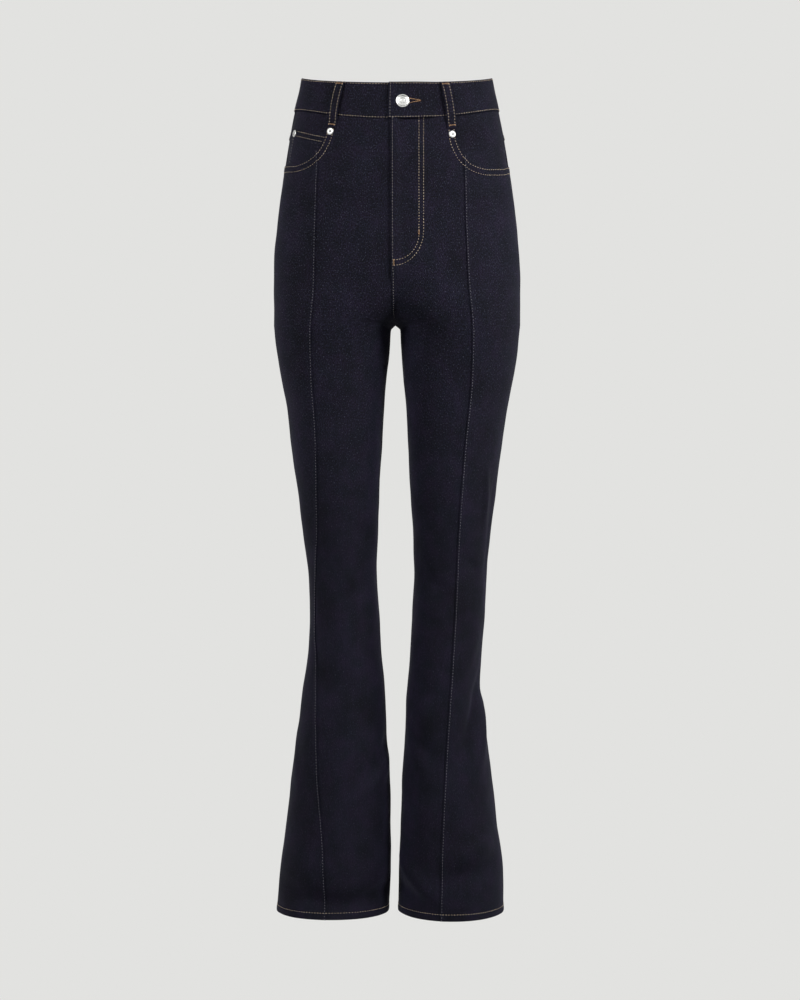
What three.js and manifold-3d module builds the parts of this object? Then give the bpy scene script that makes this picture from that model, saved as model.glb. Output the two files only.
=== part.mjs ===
// Dark denim jeans in their worn form, hollow, with no wearer: high waist, slim thighs, legs that flare from
// the knee. Millimetres, +Z up. The front faces -Y, +X is the wearer's left, and the origin is the centre of the
// waist opening.
import * as THREE from 'three';
import Module from 'manifold-3d';
import { mergeVertices } from 'three/addons/utils/BufferGeometryUtils.js';

const wasm = await Module();
wasm.setup();

// ---- Driving sizes ----
const SEAM_GAP = 0.3;         // between neighbouring pieces
const CENTRE_X = -2;          // the centre seams, a little to the wearer's right of the waist's middle
const CROTCH = 320;           // below the side waist edge
const HEM = 1080;
const BAND_DEPTH = 43.5;      // waistband
const WAIST_DIP = 18.2;       // at the centre front the waist edge is lower than at the sides by this
const FRONT_DIP = 21.4;       // and the waistband's lower edge by this
const DIP_ROUND = 0.12;       // rounds the waist edge's dip off at the sides
const BACK_RISE = 4;          // both edges are higher at the centre back
const HEM_DIP = { left: 3, right: 1 };  // the hems hang lower in front
const HEM_DIP_FROM = 900;
const SQUARENESS = 2.15;      // exponent of the superellipse sections, 2 is an ellipse

const CLOTH = 1.2;            // one panel with its seam allowances pressed flat
const HEM_CLOTH = 2.6;        // the hem is turned twice
const HEM_DEPTH = 12;
const BAND_CLOTH = 2.2;
const LOOP_CLOTH = 1.6;
const LOOP_WIDTH = 12.4;
const PATCH_CLOTH = 1.1;

// One row for each section, going down from the side waist edge. side and inseam are distances from the centre
// seams, front and back are depths before and behind the side seam, and lean is how far back the side seam sits.
const SECTION_COLUMNS = ['down', 'leftSide', 'leftInseam', 'rightSide', 'rightInseam', 'front', 'back', 'lean'];
const SECTIONS = named(SECTION_COLUMNS, [
  [-10, 123, 0, 118.5, 0, 85, 83, 0],
  [0, 125, 0, 121, 0, 86, 84, 0],
  [16, 128, 0, 124, 0, 87.5, 85, 0],
  [40, 133.5, 0, 130, 0, 90, 86, 0],
  [90, 143, 0, 139.5, 0, 95, 95, 0],
  [145, 151.5, 0, 147.5, 0, 99, 110, 0],
  [200, 158.5, 0, 154.5, 0, 101, 124, 1],
  [240, 161.5, 0, 157.5, 0, 101, 127, 2],
  [280, 162, 0, 158, 0, 98, 122, 3],
  [320, 162, 0, 158, 0, 91, 110, 4],
  [326, 161.5, 6, 157.5, 5.5, 90, 108, 4.3],
  [345, 159.5, 7, 155.5, 7, 86, 100, 5],
  [385, 154, 10, 149, 11, 81, 88, 5.5],
  [430, 145.5, 14, 140.5, 14.5, 76, 78, 5],
  [480, 137.5, 16.5, 135, 17.5, 72, 70, 4],
  [540, 130, 19, 126.5, 21, 66, 64, 3],
  [590, 123.5, 23, 120, 22.5, 61, 60, 3],
  [640, 119, 24, 113.5, 24, 57, 57, 4],
  [690, 116.5, 22, 111, 21, 58, 59, 6],
  [740, 112.5, 19, 113.5, 18.5, 61, 63, 8],
  [790, 110, 15.5, 120, 14, 64, 67, 9],
  [810, 113, 14, 122.5, 13, 66, 69, 9],
  [850, 118.5, 12.5, 127.5, 11, 69, 72, 9],
  [910, 125.5, 8.5, 135.5, 7, 74, 76, 9],
  [970, 132.5, 6.5, 142.5, 6, 79, 80, 8],
  [1030, 140, 4.5, 150, 6, 83, 83, 7],
  [1080, 141, 3.5, 154, 8, 86, 85, 6],
]);

// How far the two halves have closed into separate legs: 0 is one open body, 1 is two round legs at the crotch.
const CLEFT = named(['down', 'front', 'back'], [
  [-10, 0, 0],
  [120, 0, 0],
  [160, 0, 0.1],
  [200, 0.03, 0.22],
  [240, 0.11, 0.34],
  [270, 0.26, 0.46],
  [290, 0.44, 0.59],
  [305, 0.65, 0.75],
  [313, 0.82, 0.87],
  [318, 0.94, 0.955],
  [CROTCH, 1, 1],
]);

// The seam down the front of each leg, as a distance from the centre seams.
const FRONT_SEAM = named(['down', 'left', 'right'], [
  [80, 86, 97.5],
  [220, 89.5, 101],
  [280, 93, 102.5],
  [335, 97.5, 106.5],
  [385, 96.5, 105.5],
  [480, 88, 100],
  [585, 80.5, 99],
  [700, 75.5, 102],
  [800, 69, 100.5],
  [890, 63.5, 99],
  [1000, 58.5, 90.5],
  [1080, 57, 88],
]);

// The scooped pocket mouth: across is the distance from the centre seams, down is where its edge lies.
const RIGHT_MOUTH = named(['across', 'down'], [
  [82.5, 42], [84, 52], [87.5, 68], [92, 81], [98.5, 93], [107, 102.5], [118, 110.5], [130, 114.5], [150, 115],
]);
const LEFT_MOUTH = named(['across', 'down'], [
  [74, 42], [75, 52], [77, 73], [81.5, 87], [87, 98], [98.5, 110], [118, 117.5], [136, 118.5], [150, 114],
]);

// The largest folds. A row runs from one place to another, in degrees round the leg from its front, and stands
// out by height, or in where that is negative. width is its half-width.
const FOLDS = named(['leg', 'down', 'turn', 'endDown', 'endTurn', 'height', 'width'], [
  ['left', 782, 68, 895, 8, -7, 14],
  ['left', 815, 82, 915, 28, 4, 14],
  ['left', 725, 52, 800, 4, 3, 16],
  ['left', 1006, -72, 1050, -20, 6, 13],
  ['left', 1044, -84, 1064, -22, -7, 13],
  ['left', 1006, -6, 988, 48, 5.5, 14],
  ['left', 1032, -4, 1012, 50, -5, 13],
  ['right', 852, -82, 907, -30, -3, 12],
  ['right', 880, -82, 927, -20, 3.5, 12],
  ['right', 1044, 64, 1062, -10, -9, 14],
  ['right', 1062, -10, 1048, -74, -9, 14],
  ['left', 395, 120, 470, 240, -3, 18],
  ['right', 395, 120, 470, 240, -3, 18],
  ['left', 345, 175, 385, 240, -2.5, 18],
  ['right', 345, 175, 385, 240, -2.5, 18],
  ['left', 600, 130, 625, 235, -2.5, 14],
  ['right', 600, 130, 625, 235, -2.5, 14],
]);

// ---- Colours ----
const DENIM = new THREE.Color('#1e1e28');
const FACING_DENIM = new THREE.Color('#24242e');
const STEEL = new THREE.Color('#b9babd');
const ZIP_TAPE = new THREE.Color('#20222c');

// ---- Small helpers ----
function named(columns, rows) {
  return rows.map((row) => Object.fromEntries(columns.map((column, i) => [column, row[i]])));
}

function mix(a, b, t) {
  return a + (b - a) * t;
}

function ease(t) {
  const x = THREE.MathUtils.clamp(t, 0, 1);
  return x * x * (3 - 2 * x);
}

// A smooth curve through a table's rows that never overshoots them.
function curve(table, key, value) {
  const xs = table.map((row) => row[key]);
  const ys = table.map((row) => row[value]);
  const steps = xs.slice(1).map((x, i) => x - xs[i]);
  const slopes = steps.map((step, i) => (ys[i + 1] - ys[i]) / step);
  const tangents = xs.map((_, i) => {
    if (i === 0) return slopes[0];
    if (i === xs.length - 1) return slopes[i - 1];
    if (slopes[i - 1] * slopes[i] <= 0) return 0;
    const before = 2 * steps[i] + steps[i - 1];
    const after = steps[i] + 2 * steps[i - 1];
    return (before + after) / (before / slopes[i - 1] + after / slopes[i]);
  });
  return (at) => {
    const x = THREE.MathUtils.clamp(at, xs[0], xs.at(-1));
    const i = Math.max(0, xs.findLastIndex((start, k) => start <= x && k < xs.length - 1));
    const t = (x - xs[i]) / steps[i];
    return (1 + 2 * t) * (1 - t) ** 2 * ys[i] + t * (1 - t) ** 2 * steps[i] * tangents[i]
      + t * t * (3 - 2 * t) * ys[i + 1] + t * t * (t - 1) * steps[i] * tangents[i + 1];
  };
}

const frontDepth = curve(SECTIONS, 'down', 'front');
const backDepth = curve(SECTIONS, 'down', 'back');
const sideLean = curve(SECTIONS, 'down', 'lean');
const frontCleft = curve(CLEFT, 'down', 'front');
const backCleft = curve(CLEFT, 'down', 'back');
const BELOW_CROTCH = SECTIONS.filter((row) => row.down >= CROTCH);

const LEGS = {
  left: {
    sign: 1,
    side: curve(SECTIONS, 'down', 'leftSide'),
    inseam: curve(BELOW_CROTCH, 'down', 'leftInseam'),
    seam: curve(FRONT_SEAM, 'down', 'left'),
    mouth: curve(LEFT_MOUTH, 'across', 'down'),
    mouthAcross: curve(LEFT_MOUTH.slice(0, -1), 'down', 'across'),
    folds: FOLDS.filter((fold) => fold.leg === 'left'),
    hemDip: HEM_DIP.left,
  },
  right: {
    sign: -1,
    side: curve(SECTIONS, 'down', 'rightSide'),
    inseam: curve(BELOW_CROTCH, 'down', 'rightInseam'),
    seam: curve(FRONT_SEAM, 'down', 'right'),
    mouth: curve(RIGHT_MOUTH, 'across', 'down'),
    mouthAcross: curve(RIGHT_MOUTH, 'down', 'across'),
    folds: FOLDS.filter((fold) => fold.leg === 'right'),
    hemDip: HEM_DIP.right,
  },
};

// ---- The garment's outer surface ----
// turn goes round one half in radians: 0 is its front, a quarter turn its side seam, half a turn its back.
const SIDE_SEAM = Math.PI / 2;

const DIP_END = CROTCH - 20;

// How much lower than its own level a place near the waist lies: the waist edge and the waistband's lower edge
// dip at the front, and both rise at the back.
function edgeDip(down, turn) {
  const facing = Math.cos(turn);
  if (facing <= 0) return -BACK_RISE * facing * facing;
  const rounded = (value) => Math.hypot(value, DIP_ROUND) - DIP_ROUND;
  const waist = WAIST_DIP * rounded(facing) / rounded(1);
  return mix(waist, FRONT_DIP * facing * facing, THREE.MathUtils.clamp(down / BAND_DEPTH, 0, 1));
}

// The waist's dip fades out between the waistband and the crotch.
function realDown(down, turn) {
  return down + edgeDip(down, turn) * (1 - ease((down - BAND_DEPTH) / (DIP_END - BAND_DEPTH)));
}

// Each half's section is a superellipse between its side and an inner edge. Above the crotch that edge lies
// beyond the centre seam, where the section is cut off, and it comes in to the centre as the cleft closes.
function innerEdge(leg, down, cleft) {
  if (down >= CROTCH) return leg.inseam(down);
  const closed = cleft(down);
  return leg.side(down) * (closed - 1) / (1 + closed);
}

// The same edge averaged over the levels near it, which shapes the section away from the crotch.
const SOFT_SPAN = 36;

function softInnerEdge(leg, down, cleft) {
  const parts = [-1, -2 / 3, -1 / 3, 0, 1 / 3, 2 / 3, 1];
  return parts.reduce((sum, part) => sum + innerEdge(leg, down + part * SOFT_SPAN, cleft), 0) / parts.length;
}

// The distance from the centre seam: round is -1 at the inner edge, 0 at the front or back and 1 at the side.
function acrossAt(leg, level, turn) {
  const cleft = Math.cos(turn) > 0 ? frontCleft : backCleft;
  const round = Math.sign(Math.sin(turn)) * Math.abs(Math.sin(turn)) ** (2 / SQUARENESS);
  const inner = mix(softInnerEdge(leg, level, cleft), innerEdge(leg, level, cleft), ease(-round));
  return mix(inner, leg.side(level), (1 + round) / 2);
}

// The turn between two others at which the surface is this far across from the centre seam.
function turnWhere(leg, down, across, from, to) {
  let [low, high] = [from, to];
  for (let i = 0; i < 26; i += 1) {
    const turn = (low + high) / 2;
    if (acrossAt(leg, realDown(down, turn), turn) < across) low = turn;
    else high = turn;
  }
  return (low + high) / 2;
}

function turnAcross(leg, down, across) {
  return turnWhere(leg, down, across, -SIDE_SEAM, SIDE_SEAM);
}

// The turn where the front or the back panel ends at the centre seam, or at the inseam below the crotch.
function frontEnd(leg, down) {
  return down < CROTCH ? turnWhere(leg, down, 0, -SIDE_SEAM, 0.2) : -SIDE_SEAM;
}

function backEnd(leg, down) {
  return down < CROTCH ? turnWhere(leg, down, 0, 3 * SIDE_SEAM, Math.PI - 0.2) : 3 * SIDE_SEAM;
}

function smoothPoint(leg, down, turn) {
  const level = realDown(down, turn);
  const facing = Math.cos(turn);
  const depth = facing > 0 ? -frontDepth(level) : backDepth(level);
  const x = CENTRE_X + leg.sign * (SEAM_GAP / 2 + acrossAt(leg, level, turn));
  const y = sideLean(level) + depth * Math.abs(facing) ** (2 / SQUARENESS);
  const hemDip = leg.hemDip * Math.max(facing, 0) ** 2 * ease((down - HEM_DIP_FROM) / (HEM - HEM_DIP_FROM));
  return new THREE.Vector3(x, y, -level - hemDip);
}

// A fold's distances round the leg are taken at this radius.
const FOLD_RADIUS = 80;
const FOLD_END = 0.4;         // a fold's height at its ends, as a share of the height at its middle

function foldHeight(leg, down, turn) {
  return leg.folds.reduce((height, fold) => {
    const [start, end] = [fold.turn, fold.endTurn].map((degrees) => THREE.MathUtils.degToRad(degrees) * FOLD_RADIUS);
    const along = new THREE.Vector2(fold.endDown - fold.down, end - start);
    const here = new THREE.Vector2(down - fold.down, turn * FOLD_RADIUS - start);
    const t = THREE.MathUtils.clamp(here.dot(along) / along.lengthSq(), 0, 1);
    const away = here.sub(along.multiplyScalar(t)).length() / fold.width;
    const swell = FOLD_END + 4 * (1 - FOLD_END) * t * (1 - t);
    return height + fold.height * Math.exp(-away * away) * swell;
  }, 0);
}

// The outer surface, or a point that stands off it by lift.
function skin(leg, down, turn, lift = 0) {
  const step = 0.004;
  const here = smoothPoint(leg, down, turn);
  const round = smoothPoint(leg, down, turn + step).sub(smoothPoint(leg, down, turn - step));
  const below = smoothPoint(leg, down + 0.5, turn).sub(smoothPoint(leg, down - 0.5, turn));
  const normal = round.cross(below).normalize().multiplyScalar(-leg.sign);
  return here.addScaledVector(normal, lift + foldHeight(leg, down, turn));
}

// The turn that is a distance further round than another turn, measured on the surface.
function turnAfter(leg, down, start, distance) {
  const step = 0.01 * Math.sign(distance);
  let turn = start;
  let left = Math.abs(distance);
  while (left > 0) {
    const length = smoothPoint(leg, down, turn).distanceTo(smoothPoint(leg, down, turn + step));
    turn += step * Math.min(1, left / length);
    left -= length;
  }
  return turn;
}

// ---- Solids ----
// A closed wall. outer(i, j) and inner(i, j) give the points of its two faces over a grid, and the edge points
// are drawn in by trim towards their neighbours, so that pieces that share a line stay apart.
function wall(columns, rows, outer, inner, trim = SEAM_GAP / 2) {
  const faces = [outer, inner].map((place) => {
    const grid = [];
    for (let j = 0; j <= rows; j += 1) {
      grid.push(Array.from({ length: columns + 1 }, (_, i) => place(i, j)));
    }
    const drawnIn = grid.map((row) => row.map((point) => point.clone()));
    const pull = (j, i, nextJ, nextI) => {
      const way = grid[nextJ][nextI].clone().sub(grid[j][i]).normalize();
      drawnIn[j][i].addScaledVector(way, trim);
    };
    for (let j = 0; j <= rows; j += 1) {
      pull(j, 0, j, 1);
      pull(j, columns, j, columns - 1);
    }
    for (let i = 0; i <= columns; i += 1) {
      pull(0, i, 1, i);
      pull(rows, i, rows - 1, i);
    }
    return drawnIn;
  });
  const positions = faces.flat(2).flatMap((point) => point.toArray());
  const index = (face, j, i) => (face * (rows + 1) + j) * (columns + 1) + i;
  const indices = [];
  const quad = (a, b, c, d) => indices.push(a, b, c, a, c, d);
  // Where the grid runs askew, a cell is split along its shorter diagonal.
  const isAskew = (j, i) => {
    const [grid] = faces;
    return grid[j][i].distanceTo(grid[j + 1][i + 1]) > grid[j + 1][i].distanceTo(grid[j][i + 1]);
  };
  for (let j = 0; j < rows; j += 1) {
    for (let i = 0; i < columns; i += 1) {
      const cell = [[j, i], [j + 1, i], [j + 1, i + 1], [j, i + 1]];
      const corners = isAskew(j, i) ? [...cell.slice(1), cell[0]] : cell;
      quad(...corners.map(([row, column]) => index(0, row, column)));
      const [a, b, c, d] = corners.map(([row, column]) => index(1, row, column));
      quad(a, d, c, b);
    }
    quad(index(0, j, 0), index(1, j, 0), index(1, j + 1, 0), index(0, j + 1, 0));
    quad(index(0, j, columns), index(0, j + 1, columns), index(1, j + 1, columns), index(1, j, columns));
  }
  for (let i = 0; i < columns; i += 1) {
    quad(index(0, 0, i), index(0, 0, i + 1), index(1, 0, i + 1), index(1, 0, i));
    quad(index(0, rows, i), index(1, rows, i), index(1, rows, i + 1), index(0, rows, i + 1));
  }
  const geometry = new THREE.BufferGeometry();
  geometry.setAttribute('position', new THREE.Float32BufferAttribute(positions, 3));
  geometry.setIndex(indices);
  return facingOut(geometry);
}

// Turns a closed geometry's triangles over where they face in.
function facingOut(geometry) {
  const { position } = geometry.attributes;
  const corner = (k) => new THREE.Vector3().fromBufferAttribute(position, geometry.index.getX(k));
  let volume = 0;
  for (let k = 0; k < geometry.index.count; k += 3) {
    volume += corner(k).dot(corner(k + 1).cross(corner(k + 2)));
  }
  if (volume < 0) {
    geometry.index.array.reverse();
  }
  geometry.computeVertexNormals();
  return geometry;
}

// A wall on one half: place(u, j) gives { down, turn, lift } for its outer face, or half too where it lies on the
// other half, and thick its thickness.
function legWall(leg, columns, rows, place, thick = () => CLOTH) {
  const face = (deep) => (i, j) => {
    const { down, turn, lift = 0, half = leg } = place(i / columns, j);
    return skin(half, down, turn, lift - (deep ? thick(down) : 0));
  };
  return wall(columns, rows, face(false), face(true));
}

function cloth(name, geometry, color = DENIM) {
  const material = new THREE.MeshStandardMaterial({ color, roughness: 0.9, metalness: 0 });
  const mesh = new THREE.Mesh(geometry, material);
  mesh.name = name;
  return mesh;
}

function metal(name, geometry) {
  const material = new THREE.MeshStandardMaterial({ color: STEEL, roughness: 0.35, metalness: 1 });
  const mesh = new THREE.Mesh(geometry, material);
  mesh.name = name;
  return mesh;
}

// ---- Levels down the garment: so many equal rows until each of these ----
const HEM_TURN_UP = HEM - HEM_DEPTH;
const LEVEL_ROWS = named(['until', 'rows'], [
  [97, 4],
  [125, 2],
  [230, 4],
  [290, 4],
  [309, 3],
  [316, 2],
  [CROTCH, 2],
  [344, 4],
  [440, 4],
  [HEM_TURN_UP - 0.5, 19],
  [HEM_TURN_UP, 1],
  [HEM, 1],
]);
const PANEL_LEVELS = LEVEL_ROWS.reduce((list, { until, rows }) => {
  const from = list.at(-1);
  return [...list, ...Array.from({ length: rows }, (_, i) => mix(from, until, (i + 1) / rows))];
}, [BAND_DEPTH]);

function panelThickness(down) {
  return down >= HEM_TURN_UP ? HEM_CLOTH : CLOTH;
}

// ---- Front panels ----
const FLY_LAP = 5.3;          // the wearer's left front laps over the right by this much
const FLY_END = 246;
const FLY_LIFT = 1.7;
const LIFT_END = 262;         // the lapped edge keeps its height a little further than its lap
const FLY_FADE = 12;
const MOUTH_LEVEL = 110;      // about where the pocket mouth is lowest
const MOUTH_END = 125;        // the rows of the panels below the pocket mouth start under this
const SEAM_MEETS_MOUTH = { left: 97, right: 92 };

// 1 down to an end, then fading to 0.
function flyAmount(down, end) {
  return 1 - ease((down - end) / FLY_FADE);
}

// The level of the pocket mouth's edge straight below a turn.
function mouthLevel(leg, turn) {
  return leg.mouth(Math.abs(smoothPoint(leg, MOUTH_LEVEL, turn).x - CENTRE_X));
}

// From the centre seam or the inseam to the pocket mouth, and below that to the front seam.
function frontCentre(name) {
  const leg = LEGS[name];
  const columns = 7;
  const outerEdge = (down) => {
    const across = down < SEAM_MEETS_MOUTH[name] ? leg.mouthAcross(down) : leg.seam(down);
    return turnAcross(leg, down, across);
  };
  const lapped = (down) => ({
    down,
    turn: turnAcross(LEGS.right, down, FLY_LAP * flyAmount(down, FLY_END)),
    lift: FLY_LIFT * flyAmount(down, LIFT_END),
    half: LEGS.right,
  });
  const place = (u, j) => {
    const down = PANEL_LEVELS[j];
    if (name === 'left' && u === 0 && down < FLY_END + FLY_FADE) return lapped(down);
    const lap = name === 'left' ? 1 - ease((u * columns - 1) / 2) : 0;
    return {
      down,
      turn: mix(frontEnd(leg, down), outerEdge(down), u),
      lift: FLY_LIFT * lap * flyAmount(down, LIFT_END),
    };
  };
  return cloth(`front_centre_${name}`, legWall(leg, columns, PANEL_LEVELS.length - 1, place, panelThickness));
}

// From the front seam to the side seam, below the pocket mouth.
function frontSide(name) {
  const leg = LEGS[name];
  const below = PANEL_LEVELS.filter((down) => down > MOUTH_END);
  const turnAt = (down, u) => mix(turnAcross(leg, down, leg.seam(down)), SIDE_SEAM, u);
  const place = (u, j) => {
    const down = j > 0 ? below[j - 1] : mouthLevel(leg, turnAt(MOUTH_LEVEL, u));
    return { down, turn: turnAt(down, u) };
  };
  return cloth(`front_side_${name}`, legWall(leg, 5, below.length, place, panelThickness));
}

// ---- Pockets at the hips ----
const FACING_LIFT = -CLOTH - 0.8;
const FACING_TUCK = 14;       // how far the facing runs on under the front

// The cloth seen inside the pocket mouth, from under the front to the side seam.
function pocketFacing(name) {
  const leg = LEGS[name];
  const rows = 6;
  const inner = leg.mouthAcross(BAND_DEPTH) - FACING_TUCK;
  const flatEnd = leg.mouthAcross(80);
  const turnAt = (down, u) => mix(turnAcross(leg, down, inner), SIDE_SEAM, u);
  const place = (u, j) => {
    const edge = Math.max(mouthLevel(leg, turnAt(MOUTH_LEVEL, u)), leg.mouth(flatEnd));
    const down = mix(BAND_DEPTH, edge + FACING_TUCK, j / rows);
    return { down, turn: turnAt(down, u), lift: FACING_LIFT };
  };
  return cloth(`pocket_facing_${name}`, legWall(leg, 9, rows, place), FACING_DENIM);
}

const PATCH_GAP = 0.5;        // under a patch, whose flat facets cut the corners of the panel's curve

const COIN_CLEAR = 2;

// The small pocket on the wearer's right facing, which ends just above the pocket mouth's edge.
function coinPocket() {
  const leg = LEGS.right;
  const rows = 3;
  const top = { inner: 71, outer: 67.5, across: 92, turn: THREE.MathUtils.degToRad(74) };
  const place = (u, j) => {
    const turnAt = (down) => mix(turnAcross(leg, down, top.across), top.turn, u);
    const bottom = mouthLevel(leg, turnAt(MOUTH_LEVEL)) - COIN_CLEAR;
    const down = mix(mix(top.inner, top.outer, u), bottom, j / rows);
    return { down, turn: turnAt(down), lift: FACING_LIFT + PATCH_GAP + PATCH_CLOTH };
  };
  return cloth('coin_pocket', legWall(leg, 6, rows, place, () => PATCH_CLOTH), FACING_DENIM);
}

// ---- Back ----
const BACK_COLUMNS = 13;
const YOKE_SEAM = named(['turn', 'down'], [[90, 78], [120, 88], [150, 104], [180, 118]]);
const yokeSeam = curve(YOKE_SEAM, 'turn', 'down');

function yokeLevel(u) {
  return yokeSeam(mix(90, 180, u));
}

function yoke(name) {
  const leg = LEGS[name];
  const rows = 3;
  const place = (u, j) => {
    const down = mix(BAND_DEPTH, yokeLevel(u), j / rows);
    return { down, turn: mix(SIDE_SEAM, backEnd(leg, down), u) };
  };
  return cloth(`yoke_${name}`, legWall(leg, BACK_COLUMNS, rows, place));
}

// From the yoke to the hem, and from the side seam to the centre back seam or the inseam.
function back(name) {
  const leg = LEGS[name];
  const below = PANEL_LEVELS.filter((down) => down > MOUTH_END);
  const topRows = 2;
  const place = (u, j) => {
    const down = j >= topRows ? below[j - topRows] : mix(yokeLevel(u), below[0], j / topRows);
    return { down, turn: mix(SIDE_SEAM, backEnd(leg, down), u) };
  };
  const rows = below.length - 1 + topRows;
  return cloth(`back_${name}`, legWall(leg, BACK_COLUMNS, rows, place, panelThickness));
}

// A patch pocket with a point: inner and outer are distances from the centre back seam.
const BACK_POCKET = {
  topInner: 36, topOuter: 178, bottomInner: 46, bottomOuter: 168,
  innerTop: 140, outerTop: 114, innerBottom: 266, outerBottom: 246, point: 16,
};

function backPocket(name) {
  const leg = LEGS[name];
  const rows = 8;
  const size = BACK_POCKET;
  const place = (u, j) => {
    const v = j / rows;
    const distance = mix(mix(size.topInner, size.topOuter, u), mix(size.bottomInner, size.bottomOuter, u), v);
    const bottom = mix(size.innerBottom, size.outerBottom, u) + size.point * (1 - Math.abs(2 * u - 1));
    const down = mix(mix(size.innerTop, size.outerTop, u), bottom, v);
    return { down, turn: turnAfter(leg, down, backEnd(leg, down), -distance), lift: PATCH_GAP + PATCH_CLOTH };
  };
  return cloth(`back_pocket_${name}`, legWall(leg, 10, rows, place, () => PATCH_CLOTH));
}

// ---- Waistband ----
const BAND_LIFT = 0.9;
const BAND_COLUMNS = 68;
const BAND_ROWS = 3;
const OVER_END = -3;          // degrees round the waist: where the wearer's left end stops, past the centre
const UNDER_END = 374;        // and the right end under it, after a full turn
const OVER_LIFT = 2.3;
const OVER_FADE = 9;          // degrees in which the upper end comes down to the rest
const UNDER_DROP = 0.2;
const UNDER_FROM = 352;
const UNDER_FADE = 4;

// Round the whole waist: 0 is the centre front, 90 the wearer's left side, 180 the back, 270 the right side.
function waistPlace(degrees) {
  const round = THREE.MathUtils.euclideanModulo(degrees, 360);
  const leg = round <= 180 ? LEGS.left : LEGS.right;
  return { leg, turn: THREE.MathUtils.degToRad(Math.min(round, 360 - round)) };
}

function bandLift(degrees) {
  const over = 1 - ease((degrees - UNDER_END + 360) / OVER_FADE);
  const under = ease((degrees - UNDER_FROM) / UNDER_FADE);
  return BAND_LIFT + OVER_LIFT * over - UNDER_DROP * under;
}

function waistband() {
  const face = (deep) => (i, j) => {
    const degrees = mix(OVER_END, UNDER_END, i / BAND_COLUMNS);
    const { leg, turn } = waistPlace(degrees);
    return skin(leg, BAND_DEPTH * j / BAND_ROWS, turn, bandLift(degrees) - (deep ? BAND_CLOTH : 0));
  };
  const strip = solid(wall(BAND_COLUMNS, BAND_ROWS, face(false), face(true)));
  const depth = 2 * BAND_CLOTH;
  const eye = new THREE.CylinderGeometry(BUTTON.eye, BUTTON.eye, depth, 16);
  eye.translate(0, BAND_LIFT - UNDER_DROP + SEAM_GAP / 2 + depth / 2, 0);
  const { leg, down, turn } = BUTTON;
  eye.applyMatrix4(standing(LEGS[leg], down, THREE.MathUtils.degToRad(turn)));
  return cloth('waistband', geometryOf(strip.subtract(solid(eye))));
}

// ---- Belt loops: the inner face's distance off the panels, going down from the waist edge ----
const LOOP_PATH = named(['down', 'lift'], [
  [0.5, 1.4], [6, 2.8], [16, 3.5], [30, 3.4], [44, 2.2], [53, 0.7], [60, 0.6],
]);
const LOOPS = named(['name', 'leg', 'topTurn', 'bottomTurn'], [
  ['loop_front_left', 'left', 27.3, 29.1],
  ['loop_front_right', 'right', 32.2, 34.3],
  ['loop_side_left', 'left', 128, 128],
  ['loop_side_right', 'right', 128, 128],
  ['loop_back', 'left', 180, 180],
]);

function beltLoop({ name, leg, topTurn, bottomTurn }) {
  const rows = LOOP_PATH.length - 1;
  const place = (u, j) => {
    const { down, lift } = LOOP_PATH[j];
    const middle = THREE.MathUtils.degToRad(mix(topTurn, bottomTurn, j / rows));
    return { down, turn: turnAfter(LEGS[leg], down, middle, (u - 0.5) * LOOP_WIDTH), lift: lift + LOOP_CLOTH };
  };
  return cloth(name, legWall(LEGS[leg], 2, rows, place, () => LOOP_CLOTH));
}

// ---- Zip: closed, behind the fly ----
const ZIP = { top: 47, bottom: 232, half: 12, lift: -2.1, thick: 1.6 };

function zip() {
  const columns = 4;
  const rows = 8;
  const face = (deep) => (i, j) => {
    const down = mix(ZIP.top, ZIP.bottom, j / rows);
    const across = mix(-ZIP.half, ZIP.half, i / columns);
    const leg = across < 0 ? LEGS.right : LEGS.left;
    return skin(leg, down, turnAcross(leg, down, Math.abs(across)), ZIP.lift - (deep ? ZIP.thick : 0));
  };
  return cloth('zip', wall(columns, rows, face(false), face(true)), ZIP_TAPE);
}

// ---- Button and rivets: turned round an axis that stands on the cloth ----
const BUTTON = { leg: 'left', down: 23.1, turn: 3.05, radius: 8.5, shank: 2.7, eye: 3.6 };
const RIVETS = named(['name', 'leg', 'down', 'turn', 'lift'], [
  ['rivet_left', 'left', 67.3, 28.8, 0.3],
  ['rivet_right', 'right', 65, 35.2, 0.3],
  ['rivet_coin', 'right', 73.3, 70.6, FACING_LIFT + PATCH_GAP + PATCH_CLOTH + 0.3],
]);
const RIVET_RADIUS = 4.6;

// The placing of something modelled with its Y axis pointing out of the cloth and its origin on the panels.
function standing(leg, down, turn, lift = 0) {
  const base = skin(leg, down, turn, lift);
  const outward = skin(leg, down, turn, lift + 1).sub(base).normalize();
  const round = new THREE.Quaternion().setFromUnitVectors(new THREE.Vector3(0, 1, 0), outward);
  return new THREE.Matrix4().compose(base, round, new THREE.Vector3(1, 1, 1));
}

function turned(name, profile, leg, down, turn, lift) {
  const outline = profile.map(([radius, height]) => new THREE.Vector2(radius, height));
  const lathe = new THREE.LatheGeometry(outline, 12);
  const mesh = metal(name, geometryOf(solid(lathe)));
  mesh.applyMatrix4(standing(leg, down, THREE.MathUtils.degToRad(turn), lift));
  return mesh;
}

function button() {
  const { radius, shank, leg, down, turn } = BUTTON;
  const foot = BAND_LIFT - UNDER_DROP + 0.3;
  const cap = BAND_LIFT + OVER_LIFT + 0.5;
  const profile = [
    [0, foot], [shank, foot], [shank, cap], [radius - 0.6, cap], [radius, cap + 0.6], [radius, cap + 1.6],
    [radius - 0.7, cap + 2.3], [radius - 1.8, cap + 2], [radius - 2.8, cap + 2.3], [0, cap + 2.9],
  ];
  return turned('button', profile, LEGS[leg], down, turn, 0);
}

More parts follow.
